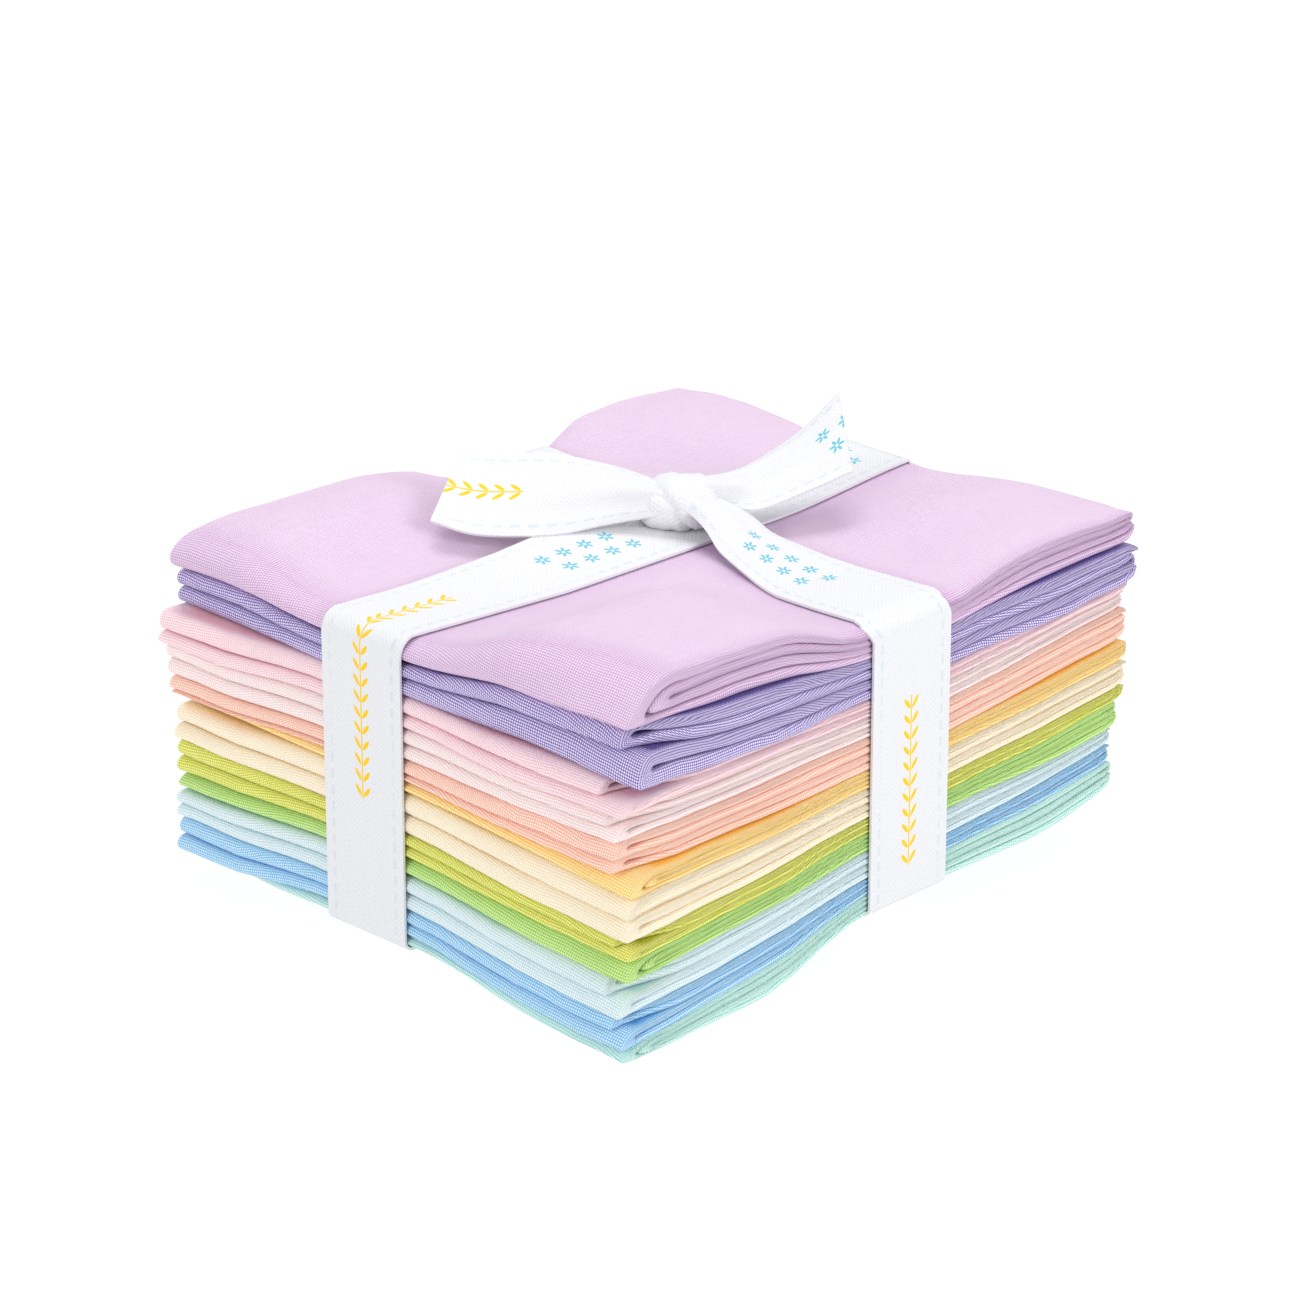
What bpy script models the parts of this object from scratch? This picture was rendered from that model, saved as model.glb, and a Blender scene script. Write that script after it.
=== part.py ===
"""A stack of twelve folded fat quarters, tied both ways with one flat cotton tape.

All lengths are in metres, +Z is up. The strips of the folded cloths run along X and their
rounded noses face -X. Each cloth is one closed back-and-forth section of four thick layers.
The whole stack is first laid out in plan coordinates (u, v) and in shares of its height,
and then one set of functions gives every point its real place: the top and the base are
puffed between the tapes and drawn in under them.
"""
import math
from collections import namedtuple

import bmesh
import bpy
from mathutils import Vector

MM = 0.001

# Driving sizes of the folded cloth and of the tape
CLOTH_LENGTH = 133 * MM
CLOTH_WIDTH = 114 * MM
HALF_LENGTH = CLOTH_LENGTH / 2
HALF_WIDTH = CLOTH_WIDTH / 2
TAPE_WIDTH = 20 * MM
TAPE_THICKNESS = 1 * MM
PIECE_GAP = 0.3 * MM
CLOTH_GAP = 0.5 * MM

# Where the two tapes cross, and how far each one runs askew
LONG_TAPE_V = 5.4 * MM
SHORT_TAPE_U = 11 * MM
LONG_TAPE_SKEW = -0.041
SHORT_TAPE_SKEW = 0.079

# The drawn-in strip beside and under a tape
FLAT_HALF = TAPE_WIDTH / 2 + 1 * MM
PUFF_REACH = 26 * MM
SIDE_PINCH = 1.5 * MM

# Heights of the top: under the tapes, how much more at the two near edges they climb, and
# of the four puffed quarters
TOP_UNDER_TAPE = 60.0 * MM
TAPE_EDGE_RISE = 2.0 * MM
PUFF_LEFT = 7.6 * MM
PUFF_FRONT = 6.2 * MM
PUFF_RIGHT = 5.2 * MM
PUFF_BACK = 2.4 * MM

# Height of the base where the tapes draw it up
BASE_UNDER_TAPE = 3.5 * MM

# The layers of one folded cloth, at its nominal thickness
NOMINAL_THICKNESS = 5.2 * MM
LAYERS = 4
LAYER_GAP = 0.3 * MM
LAYER_PITCH = (NOMINAL_THICKNESS + LAYER_GAP) / LAYERS
LAYER_THICKNESS = LAYER_PITCH - LAYER_GAP
BEND_STEPS = 4
NESTED_BEND_RADIUS = 1.5 * LAYER_PITCH
TIGHT_BEND_RADIUS = 0.5 * LAYER_PITCH

# Lines across which the folded cloths are modelled: the ends and both sides of each tape
U_LINES = (
    SHORT_TAPE_U - FLAT_HALF - PUFF_REACH,
    SHORT_TAPE_U - FLAT_HALF,
    SHORT_TAPE_U + FLAT_HALF,
    SHORT_TAPE_U + FLAT_HALF + PUFF_REACH,
)
V_LINES = (
    -HALF_WIDTH,
    LONG_TAPE_V - FLAT_HALF - PUFF_REACH,
    LONG_TAPE_V - FLAT_HALF,
    LONG_TAPE_V + FLAT_HALF,
    LONG_TAPE_V + FLAT_HALF + PUFF_REACH,
    HALF_WIDTH,
)

# How far the base is lifted along the strip face, at each place along it
StripLift = namedtuple("StripLift", "u lift")
STRIP_LIFTS = (
    StripLift(U_LINES[0], 0.0),
    StripLift(U_LINES[1], 7.3 * MM),
    StripLift(U_LINES[3], 7.2 * MM),
    StripLift(HALF_LENGTH + 3 * MM, 12.0 * MM),
)

# Where the thicknesses of the cloths are stated, and how much of a puff or a lift of the
# stack's top or base the next cloth boundary takes up
NODE_US = (-HALF_LENGTH, SHORT_TAPE_U, HALF_LENGTH)
NODE_VS = (-HALF_WIDTH, LONG_TAPE_V, HALF_WIDTH)
BOUNDARY_FOLLOWS = 0.4

# One row a cloth, from the bottom up. The thicknesses, in mm, are those at the left corner,
# under the long tape, at the front corner, under the short tape and at the right corner.
# The last four columns, in mm, are how far the cloth stands out of the stack: its noses at
# the left and at the front corner, its strip face, and its far end.
Cloth = namedtuple(
    "Cloth",
    "name colour folding left long_tape front short_tape right "
    "nose_left nose_front strips far_end",
)
CLOTHS = (
    Cloth("mint_cloth", (0.66, 0.93, 0.82), "nested", 4.8, 2.1, 2.2, 4.5, 5.6, -6.0, 0.0, -0.3, -4.5),
    Cloth("sky_blue_cloth", (0.62, 0.80, 0.95), "zigzag", 6.9, 5.1, 5.3, 2.8, 2.9, 0.5, 0.5, -0.5, -5.5),
    Cloth("ice_blue_cloth", (0.86, 0.95, 0.96), "zigzag", 5.2, 6.5, 7.2, 5.4, 3.5, 0.3, 0.5, -0.5, -4.5),
    Cloth("green_cloth", (0.64, 0.84, 0.37), "nested", 3.7, 3.8, 3.9, 3.4, 5.5, -0.3, 0.0, 0.3, -4.0),
    Cloth("chartreuse_cloth", (0.85, 0.87, 0.27), "zigzag", 6.6, 4.6, 3.5, 3.0, 2.8, -0.5, -0.5, 0.8, -2.5),
    Cloth("cream_cloth", (1.00, 0.94, 0.85), "zigzag", 7.2, 7.8, 7.9, 5.5, 5.1, 0.0, 0.0, 0.3, -1.5),
    Cloth("yellow_cloth", (1.00, 0.87, 0.55), "nested", 3.6, 2.4, 3.3, 3.4, 3.3, -2.0, -1.0, 0.5, -1.2),
    Cloth("peach_cloth", (1.00, 0.72, 0.60), "zigzag", 3.2, 3.4, 6.4, 6.8, 6.4, 1.5, 0.0, -1.0, -1.0),
    Cloth("pale_pink_cloth", (0.99, 0.90, 0.91), "zigzag", 6.7, 6.3, 5.3, 3.7, 3.2, 1.5, 0.5, -1.5, -0.5),
    Cloth("pink_cloth", (0.99, 0.80, 0.83), "zigzag", 6.8, 6.5, 4.8, 2.9, 3.4, 3.2, 1.5, -0.5, 0.0),
    Cloth("purple_cloth", (0.66, 0.62, 0.86), "zigzag", 6.6, 5.4, 10.5, 7.9, 7.2, -1.2, -0.5, 2.5, 1.0),
    Cloth("lilac_cloth", (0.87, 0.76, 0.89), "nested", 6.3, 4.9, 6.0, 5.4, 5.2, 0.0, 0.0, 0.0, 0.5),
)
OUTWARD_REACH = 32 * MM
CLOTH_ROUGHNESS = 0.85
TAPE_COLOUR = (0.93, 0.94, 0.97)
TAPE_ROUGHNESS = 0.7
SRGB_OFFSET = 0.055
SRGB_POWER = 2.4

# How the short tape climbs over the long one, from its edge outwards, and how much the free
# tails are bowed for their width
CROSSING_CLEAR = 2 * MM
CROSSING_RAMP = 3 * MM
TAIL_BOW_SHARE = 0.06

# The knot: one row a ring along its axis, which points from the left tail to the right one
KnotRing = namedtuple("KnotRing", "along across high")
KNOT_RINGS = (
    KnotRing(-7.0 * MM, 2.8 * MM, 2.4 * MM),
    KnotRing(-5.2 * MM, 5.2 * MM, 3.6 * MM),
    KnotRing(-2.0 * MM, 6.3 * MM, 4.2 * MM),
    KnotRing(1.2 * MM, 5.6 * MM, 4.1 * MM),
    KnotRing(3.2 * MM, 5.9 * MM, 4.0 * MM),
    KnotRing(5.6 * MM, 4.6 * MM, 3.3 * MM),
    KnotRing(7.0 * MM, 2.6 * MM, 2.2 * MM),
)
KNOT_SIDES = 12
KNOT_AXIS = Vector((0.692, -0.722, 0.0))
KNOT_CENTRE_HEIGHT = 67.4 * MM

# The free tails: one row a section from the knot to the cut end, in mm, with the place of
# the ribbon's near edge and of its far edge
TailSection = namedtuple("TailSection", "near_x near_y near_z far_x far_y far_z")
LEFT_TAIL = (
    TailSection(4.2, 8.2, 64.6, 7.2, 11.6, 69.4),
    TailSection(-2.6, 10.4, 64.4, 3.8, 17.2, 71.2),
    TailSection(-12.2, 14.6, 63.9, -1.5, 24.1, 72.8),
    TailSection(-23.5, 21.8, 65.2, -8.6, 32.7, 72.9),
    TailSection(-29.4, 28.0, 68.4, -12.4, 37.2, 73.6),
)
RIGHT_TAIL = (
    TailSection(15.0, -3.6, 65.0, 19.2, 1.0, 69.6),
    TailSection(18.6, -8.4, 65.0, 27.0, 1.2, 69.4),
    TailSection(27.0, -13.0, 67.6, 37.0, -1.6, 73.8),
    TailSection(34.9, -16.8, 70.4, 45.0, -4.2, 80.2),
)


def smooth_fall(distance, flat, reach):
    """Return 1 within the flat distance, falling smoothly to 0 at the reach beyond it."""
    share = min(1.0, max(0.0, abs(distance) - flat) / reach)
    return (1 - share ** 2) ** 2


def near_long_tape(v):
    return smooth_fall(v - LONG_TAPE_V, FLAT_HALF, PUFF_REACH)


def near_short_tape(u):
    return smooth_fall(u - SHORT_TAPE_U, FLAT_HALF, PUFF_REACH)


def between_lines(value, lines):
    """Interpolate a list of (place, amount) pairs, holding the end amounts beyond them."""
    if value <= lines[0][0]:
        return lines[0][1]
    for (place_a, amount_a), (place_b, amount_b) in zip(lines, lines[1:]):
        if value <= place_b:
            share = (value - place_a) / (place_b - place_a)
            return amount_a + share * (amount_b - amount_a)
    return lines[-1][1]


def top_height(u, v):
    """Height of the stack's top: level under the tapes, puffed in the four quarters."""
    towards_far = 0.5 + u / CLOTH_LENGTH
    towards_left = 0.5 + v / CLOTH_WIDTH
    puff_near = PUFF_FRONT + (PUFF_LEFT - PUFF_FRONT) * towards_left
    puff_far = PUFF_RIGHT + (PUFF_BACK - PUFF_RIGHT) * towards_left
    puff = puff_near + (puff_far - puff_near) * towards_far
    to_noses = between_lines(u, ((-HALF_LENGTH, 1.0), (U_LINES[0], 0.0)))
    to_strips = between_lines(v, ((-HALF_WIDTH, 1.0), (V_LINES[1], 0.0)))
    under = TOP_UNDER_TAPE + TAPE_EDGE_RISE * max(to_noses, to_strips)
    puffed = max(under, TOP_UNDER_TAPE + puff)
    return under + (puffed - under) * (1 - near_long_tape(v)) * (1 - near_short_tape(u))


def base_height(u, v):
    """Height of the stack's base: flat on the ground in the quarters, lifted at the tapes."""
    under_tapes = max(near_long_tape(v), near_short_tape(u)) * BASE_UNDER_TAPE
    towards_strips = max(0.0, (V_LINES[1] - v) / (V_LINES[1] - V_LINES[0]))
    return max(under_tapes, between_lines(u, STRIP_LIFTS) * towards_strips)


def node_thicknesses(cloth):
    """A row's thicknesses at the nodes, by u and then v; hidden ones are means of their sides."""
    hidden = (cloth.left + cloth.right) / 2
    centre = (cloth.long_tape + cloth.short_tape) / 2
    return (
        (cloth.front, cloth.long_tape, cloth.left),
        (cloth.short_tape, centre, (cloth.left + hidden) / 2),
        (cloth.right, (cloth.right + hidden) / 2, hidden),
    )


def node_levels():
    """Heights of the base, of every cloth boundary and of the top, at each node."""
    thicknesses = [node_thicknesses(cloth) for cloth in CLOTHS]
    levels = []
    for i, u in enumerate(NODE_US):
        column = []
        for j, v in enumerate(NODE_VS):
            here = [rows[i][j] for rows in thicknesses]
            base = base_height(u, v)
            scale = (top_height(u, v) - base) / sum(here)
            column.append([base + scale * sum(here[:count]) for count in range(len(here) + 1)])
        levels.append(column)
    return levels


NODE_LEVELS = node_levels()


def between_nodes(boundary, u, v):
    """Height of a boundary on straight lines between the nodes."""
    columns = []
    for place, column in zip(NODE_US, NODE_LEVELS):
        heights = [levels[boundary] for levels in column]
        columns.append((place, between_lines(v, tuple(zip(NODE_VS, heights)))))
    return between_lines(u, columns)


def boundary_height(boundary, u, v):
    """Height of a cloth boundary, which follows the base's lift and the top's puffs a little."""
    base_lift = base_height(u, v) - between_nodes(0, u, v)
    top_lift = top_height(u, v) - between_nodes(len(CLOTHS), u, v)
    from_top = len(CLOTHS) - boundary
    follows = base_lift * BOUNDARY_FOLLOWS ** boundary + top_lift * BOUNDARY_FOLLOWS ** from_top
    return between_nodes(boundary, u, v) + follows


def height_at(index, share, u, v):
    """Height of a point in cloth number index, at a share of that cloth's own thickness."""
    low = boundary_height(index, u, v)
    high = boundary_height(index + 1, u, v)
    if index > 0:
        low += CLOTH_GAP / 2
    if index < len(CLOTHS) - 1:
        high -= CLOTH_GAP / 2
    return low + share * (high - low)


def plan_point(u, v):
    """Lay the plan's lines askew, as the tapes run, but keep the outline of the stack."""
    in_length = max(0.0, 1 - (u / HALF_LENGTH) ** 2)
    in_width = max(0.0, 1 - (v / HALF_WIDTH) ** 2)
    return u + SHORT_TAPE_SKEW * v * in_length, v + LONG_TAPE_SKEW * u * in_width


def outline_shift(cloth, u, v):
    """Move a point near the stack's outline by the cloth's own offsets and the tapes' pinch."""
    beside_long = 1 - near_long_tape(v)
    beside_short = 1 - near_short_tape(u)
    nose_lines = ((-HALF_WIDTH, cloth.nose_front), (HALF_WIDTH, cloth.nose_left))
    nose_out = between_lines(v, nose_lines) * MM * beside_long - SIDE_PINCH * (1 - beside_long)
    end_out = cloth.far_end * MM * beside_long - SIDE_PINCH * (1 - beside_long)
    strips_out = cloth.strips * MM * beside_short - SIDE_PINCH * (1 - beside_short)
    hidden_out = -SIDE_PINCH * (1 - beside_short)
    to_noses = max(0.0, -u - HALF_LENGTH + OUTWARD_REACH) / OUTWARD_REACH
    to_end = max(0.0, u - HALF_LENGTH + OUTWARD_REACH) / OUTWARD_REACH
    shift_u = to_end * end_out - to_noses * nose_out
    shift_v = 0.0
    if v == -HALF_WIDTH:
        shift_v = -strips_out
    if v == HALF_WIDTH:
        shift_v = hidden_out
    return shift_u, shift_v


def cloth_point(index, u, v, level):
    """Place a point of the nominal section, level being its height above the section's base."""
    shift_u, shift_v = outline_shift(CLOTHS[index], u, v)
    x, y = plan_point(u + shift_u, v + shift_v)
    return Vector((x, y, height_at(index, level / NOMINAL_THICKNESS, u + shift_u, v + shift_v)))


SectionStep = namedtuple("SectionStep", "u level across_u across_level")


def straight_run(layer, start_u, end_u):
    """Steps along one layer, numbered from the bottom, with its sideways direction."""
    level = LAYER_THICKNESS / 2 + layer * LAYER_PITCH
    forward = 1 if end_u > start_u else -1
    low_u, high_u = sorted((start_u, end_u))
    places = [start_u] + [line for line in U_LINES[::forward] if low_u < line < high_u] + [end_u]
    return [SectionStep(u, level, 0.0, forward) for u in places]


def bend(from_layer, to_layer, centre_u, outward):
    """Steps round a bend between two layers, without its ends; outward is -1 at the noses."""
    from_level = LAYER_THICKNESS / 2 + from_layer * LAYER_PITCH
    to_level = LAYER_THICKNESS / 2 + to_layer * LAYER_PITCH
    radius = abs(to_level - from_level) / 2
    middle = (from_level + to_level) / 2
    rising = 1 if to_level > from_level else -1
    side = -outward * rising
    steps = []
    for step in range(1, BEND_STEPS):
        angle = math.pi * step / BEND_STEPS
        reach_out = math.sin(angle)
        rise = -math.cos(angle) * rising
        steps.append(SectionStep(
            centre_u + outward * radius * reach_out,
            middle + radius * rise,
            side * outward * reach_out,
            side * rise,
        ))
    return steps


def section_steps(folding):
    """The middle line of a folded cloth, as one run back and forth through its four layers."""
    half_layer = LAYER_THICKNESS / 2
    nested_nose = -HALF_LENGTH + NESTED_BEND_RADIUS + half_layer
    tight_nose = -HALF_LENGTH + TIGHT_BEND_RADIUS + half_layer
    tight_end = HALF_LENGTH - TIGHT_BEND_RADIUS - half_layer
    if folding == "nested":
        return (
            straight_run(0, HALF_LENGTH, nested_nose)
            + bend(0, 3, nested_nose, -1)
            + straight_run(3, nested_nose, tight_end)
            + bend(3, 2, tight_end, 1)
            + straight_run(2, tight_end, nested_nose)
            + bend(2, 1, nested_nose, -1)
            + straight_run(1, nested_nose, HALF_LENGTH)
        )
    return (
        straight_run(0, HALF_LENGTH, tight_nose)
        + bend(0, 1, tight_nose, -1)
        + straight_run(1, tight_nose, tight_end)
        + bend(1, 2, tight_end, 1)
        + straight_run(2, tight_end, tight_nose)
        + bend(2, 3, tight_nose, -1)
        + straight_run(3, tight_nose, HALF_LENGTH)
    )


def new_material(name, colour, roughness):
    material = bpy.data.materials.new(name)
    material.use_nodes = True
    shader = material.node_tree.nodes["Principled BSDF"]
    linear = [((channel + SRGB_OFFSET) / (1 + SRGB_OFFSET)) ** SRGB_POWER for channel in colour]
    shader.inputs["Base Color"].default_value = (*linear, 1.0)
    shader.inputs["Roughness"].default_value = roughness
    shader.inputs["Metallic"].default_value = 0.0
    return material


def new_object(name, mesh_builder, colour, roughness):
    """Turn a bmesh into a named object with its own material and outward faces."""
    bmesh.ops.recalc_face_normals(mesh_builder, faces=mesh_builder.faces)
    mesh = bpy.data.meshes.new(name)
    mesh_builder.to_mesh(mesh)
    mesh_builder.free()
    mesh.materials.append(new_material(name + "_finish", colour, roughness))
    made = bpy.data.objects.new(name, mesh)
    bpy.context.collection.objects.link(made)
    return made


def split_quad(builder, corners, first_diagonal):
    """Add a four-sided patch as two triangles, cut along the chosen diagonal."""
    a, b, c, d = corners
    if first_diagonal:
        builder.faces.new((a, b, c))
        builder.faces.new((a, c, d))
    else:
        builder.faces.new((a, b, d))
        builder.faces.new((b, c, d))


def folded_cloth(index):
    """One fat quarter: its section drawn out along V, with both ends and edges closed."""
    cloth = CLOTHS[index]
    steps = section_steps(cloth.folding)
    builder = bmesh.new()
    sheets = []
    for side in (1, -1):
        rows = []
        for step in steps:
            reach = side * LAYER_THICKNESS / 2
            u = step.u + reach * step.across_u
            level = step.level + reach * step.across_level
            rows.append([builder.verts.new(cloth_point(index, u, v, level)) for v in V_LINES])
        sheets.append(rows)
    last_step = len(steps) - 1
    last_line = len(V_LINES) - 1
    for rows in sheets:
        for i in range(last_step):
            towards_far = steps[i + 1].u > steps[i].u
            for j in range(last_line):
                corners = (rows[i][j], rows[i + 1][j], rows[i + 1][j + 1], rows[i][j + 1])
                split_quad(builder, corners, towards_far)
    upper, lower = sheets
    for j in (0, last_line):
        for i in range(last_step):
            builder.faces.new((upper[i][j], upper[i + 1][j], lower[i + 1][j], lower[i][j]))
    for i in (0, last_step):
        for j in range(last_line):
            builder.faces.new((upper[i][j], upper[i][j + 1], lower[i][j + 1], lower[i][j]))
    return new_object(cloth.name, builder, cloth.colour, CLOTH_ROUGHNESS)


def offset_outline(outline, distance):
    """Move each corner of a closed clockwise outline outwards, keeping its edges parallel."""
    moved = []
    count = len(outline)
    for i, corner in enumerate(outline):
        before = (corner - outline[i - 1]).normalized()
        after = (outline[(i + 1) % count] - corner).normalized()
        normal_before = Vector((-before.y, before.x))
        normal_after = Vector((-after.y, after.x))
        mitre = (normal_before + normal_after) / (1 + normal_before.dot(normal_after))
        moved.append(corner + mitre * distance)
    return moved


def tape_loop(name, outline, place_edge):
    """A closed band round an outline; place_edge puts an outline point on either tape edge."""
    builder = bmesh.new()
    inner = offset_outline(outline, PIECE_GAP)
    outer = offset_outline(outline, PIECE_GAP + TAPE_THICKNESS)
    rings = []
    for points in (inner, outer):
        for side in (-1, 1):
            rings.append([builder.verts.new(place_edge(point, side)) for point in points])
    inner_near, inner_far, outer_near, outer_far = rings
    count = len(outline)
    for i in range(count):
        k = (i + 1) % count
        builder.faces.new((inner_near[i], inner_near[k], inner_far[k], inner_far[i]))
        builder.faces.new((outer_near[i], outer_far[i], outer_far[k], outer_near[k]))
        builder.faces.new((inner_near[i], outer_near[i], outer_near[k], inner_near[k]))
        builder.faces.new((inner_far[i], inner_far[k], outer_far[k], outer_far[i]))
    return new_object(name, builder, TAPE_COLOUR, TAPE_ROUGHNESS)


def long_tape():
    """The loop that runs along X, over the noses and round the far end."""
    face = HALF_LENGTH - SIDE_PINCH
    nose = NOMINAL_THICKNESS / 2
    nose_cut = nose * (1 - math.sqrt(0.5))
    centre = LONG_TAPE_V
    nose_base = base_height(-face, centre)
    nose_top = top_height(-face, centre)
    outline = [
        Vector((-face, nose_base + nose)),
        Vector((-face, nose_top - nose)),
        Vector((-face + nose_cut, nose_top - nose_cut)),
        Vector((-face + nose, top_height(-face + nose, centre))),
        *(Vector((u, top_height(u, centre))) for u in U_LINES),
        Vector((face, top_height(face, centre))),
        Vector((face, base_height(face, centre))),
        *(Vector((u, base_height(u, centre))) for u in U_LINES[::-1]),
        Vector((-face, nose_base)),
    ]

    def place_edge(point, side):
        x, y = plan_point(point.x, centre + side * TAPE_WIDTH / 2)
        return Vector((x, y, point.y))

    return tape_loop("long_tape", outline, place_edge)


def short_tape():
    """The loop that runs along Y and passes outside the long one at both crossings."""
    face = HALF_WIDTH - SIDE_PINCH
    centre = SHORT_TAPE_U
    step_out = PIECE_GAP + TAPE_THICKNESS
    cross_low = LONG_TAPE_V - TAPE_WIDTH / 2
    cross_high = LONG_TAPE_V + TAPE_WIDTH / 2
    ramp = (
        cross_low - CROSSING_CLEAR - CROSSING_RAMP,
        cross_low - CROSSING_CLEAR,
        cross_high + CROSSING_CLEAR,
        cross_high + CROSSING_CLEAR + CROSSING_RAMP,
    )
    rise = (0.0, step_out, step_out, 0.0)
    outline = [
        Vector((-face, base_height(centre, -face))),
        Vector((-face, top_height(centre, -face))),
        Vector((V_LINES[1], top_height(centre, V_LINES[1]))),
        *(Vector((v, top_height(centre, v) + up)) for v, up in zip(ramp, rise)),
        Vector((face, top_height(centre, face))),
        Vector((face, base_height(centre, face))),
        *(Vector((v, base_height(centre, v) - down)) for v, down in zip(ramp[::-1], rise)),
        Vector((V_LINES[1], base_height(centre, V_LINES[1]))),
    ]

    def place_edge(point, side):
        x, y = plan_point(centre + side * TAPE_WIDTH / 2, point.x)
        return Vector((x, y, point.y))

    return tape_loop("short_tape", outline, place_edge)


def knot():
    """The wrapped knot over the crossing, lofted through its rings."""
    builder = bmesh.new()
    centre_x, centre_y = plan_point(SHORT_TAPE_U, LONG_TAPE_V)
    centre = Vector((centre_x, centre_y, KNOT_CENTRE_HEIGHT))
    across = Vector((-KNOT_AXIS.y, KNOT_AXIS.x, 0.0))
    rings = []
    for ring in KNOT_RINGS:
        row = []
        for side in range(KNOT_SIDES):
            angle = 2 * math.pi * side / KNOT_SIDES
            offset = across * ring.across * math.cos(angle) + Vector((0, 0, ring.high * math.sin(angle)))
            row.append(builder.verts.new(centre + KNOT_AXIS * ring.along + offset))
        rings.append(row)
    for row, following in zip(rings, rings[1:]):
        for side in range(KNOT_SIDES):
            k = (side + 1) % KNOT_SIDES
            builder.faces.new((row[side], row[k], following[k], following[side]))
    builder.faces.new(rings[0])
    builder.faces.new(rings[-1])
    made = new_object("knot", builder, TAPE_COLOUR, TAPE_ROUGHNESS)
    made.data.shade_smooth()
    return made


def tail(name, sections):
    """A free end of the tape: a thin ribbon through its sections, bowed a little across."""
    builder = bmesh.new()
    near_edge = [Vector(row[:3]) * MM for row in sections]
    far_edge = [Vector(row[3:]) * MM for row in sections]
    middles = [(near + far) / 2 for near, far in zip(near_edge, far_edge)]
    rows = []
    for i, (near, far) in enumerate(zip(near_edge, far_edge)):
        along = middles[min(i + 1, len(middles) - 1)] - middles[max(i - 1, 0)]
        normal = along.cross(far - near).normalized()
        half = normal * TAPE_THICKNESS / 2
        bow = normal * (far - near).length * TAIL_BOW_SHARE
        low_row = [near - half, middles[i] + bow - half, far - half]
        high_row = [far + half, middles[i] + bow + half, near + half]
        rows.append([builder.verts.new(point) for point in low_row + high_row])
    corner_count = len(rows[0])
    for row, following in zip(rows, rows[1:]):
        for side in range(corner_count):
            k = (side + 1) % corner_count
            builder.faces.new((row[side], row[k], following[k], following[side]))
    for row in (rows[0], rows[-1]):
        builder.faces.new((row[0], row[1], row[4], row[5]))
        builder.faces.new((row[1], row[2], row[3], row[4]))
    return new_object(name, builder, TAPE_COLOUR, TAPE_ROUGHNESS)


def centre_on_origin(pieces):
    """Hang every piece on one empty, which puts the middle of the base at the origin."""
    corners = [vertex.co for piece in pieces for vertex in piece.data.vertices]
    middle_x = (min(corner.x for corner in corners) + max(corner.x for corner in corners)) / 2
    middle_y = (min(corner.y for corner in corners) + max(corner.y for corner in corners)) / 2
    holder = bpy.data.objects.new("stack_origin", None)
    bpy.context.collection.objects.link(holder)
    holder.location = (-middle_x, -middle_y, 0.0)
    for piece in pieces:
        piece.parent = holder


def main():
    for old in list(bpy.data.objects):
        bpy.data.objects.remove(old, do_unlink=True)
    pieces = [folded_cloth(index) for index in range(len(CLOTHS))]
    pieces.append(long_tape())
    pieces.append(short_tape())
    pieces.append(knot())
    pieces.append(tail("left_tail", LEFT_TAIL))
    pieces.append(tail("right_tail", RIGHT_TAIL))
    centre_on_origin(pieces)


main()
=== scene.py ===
"""The looks of a stack of twelve folded fat quarters tied with cotton tape.

Sizes are in millimetres until a mesh is made, and in metres in the shaders. The stack is laid
out in plan coordinates (u, v) and in shares of its height, as the solids are: the strips run
along u, their noses face -u, and each cloth is one real sheet that is folded twice each way.
"""
import math
from collections import namedtuple
from functools import partialmethod

import bpy
import numpy as np
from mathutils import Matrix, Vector


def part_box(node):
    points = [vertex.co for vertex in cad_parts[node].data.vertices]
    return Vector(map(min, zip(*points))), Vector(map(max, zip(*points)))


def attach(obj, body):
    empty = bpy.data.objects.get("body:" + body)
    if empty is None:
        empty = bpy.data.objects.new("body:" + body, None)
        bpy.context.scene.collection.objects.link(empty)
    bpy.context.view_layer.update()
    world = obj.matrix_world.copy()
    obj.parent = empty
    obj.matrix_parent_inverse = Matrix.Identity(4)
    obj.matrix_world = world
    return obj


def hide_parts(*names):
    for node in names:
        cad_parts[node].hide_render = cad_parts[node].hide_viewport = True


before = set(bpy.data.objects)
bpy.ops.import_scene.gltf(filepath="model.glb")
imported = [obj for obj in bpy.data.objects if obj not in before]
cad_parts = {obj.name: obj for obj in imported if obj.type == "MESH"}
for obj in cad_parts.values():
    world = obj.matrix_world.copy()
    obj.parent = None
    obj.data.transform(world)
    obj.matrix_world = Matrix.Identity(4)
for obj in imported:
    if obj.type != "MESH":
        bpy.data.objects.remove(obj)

MM = 0.001
TINY = 1e-9

# The folded cloth and the tape
HALF_LENGTH = 66.5
HALF_WIDTH = 57.0
TAPE_WIDTH = 20.0
TAPE_THICKNESS = 0.5
TAPE_CLEARANCE = 0.3

# Where the tapes cross, and how far each one runs askew
LONG_TAPE_V = 5.4
SHORT_TAPE_U = 11.0
LONG_TAPE_SKEW = -0.041
SHORT_TAPE_SKEW = 0.079

# The drawn-in strip beside and under a tape
FLAT_HALF = TAPE_WIDTH / 2 + 1
PUFF_REACH = 26.0
SIDE_PINCH = 1.5

# Heights of the top: under the tapes, at the edges they climb, and in the four quarters
TOP_UNDER_TAPE = 60.0
TAPE_EDGE_RISE = 2.0
FAR_EDGE_RISE = 2.6
RISE_START_U = 26.0
RISE_START_V = 24.0
CORNER_RISE_LESS = 1.6
BACK_TAPE_REACH = 13.0
PUFF_LEFT = 8.2
PUFF_FRONT = 10.6
PUFF_RIGHT = 5.4
PUFF_BACK = 2.6

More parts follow.
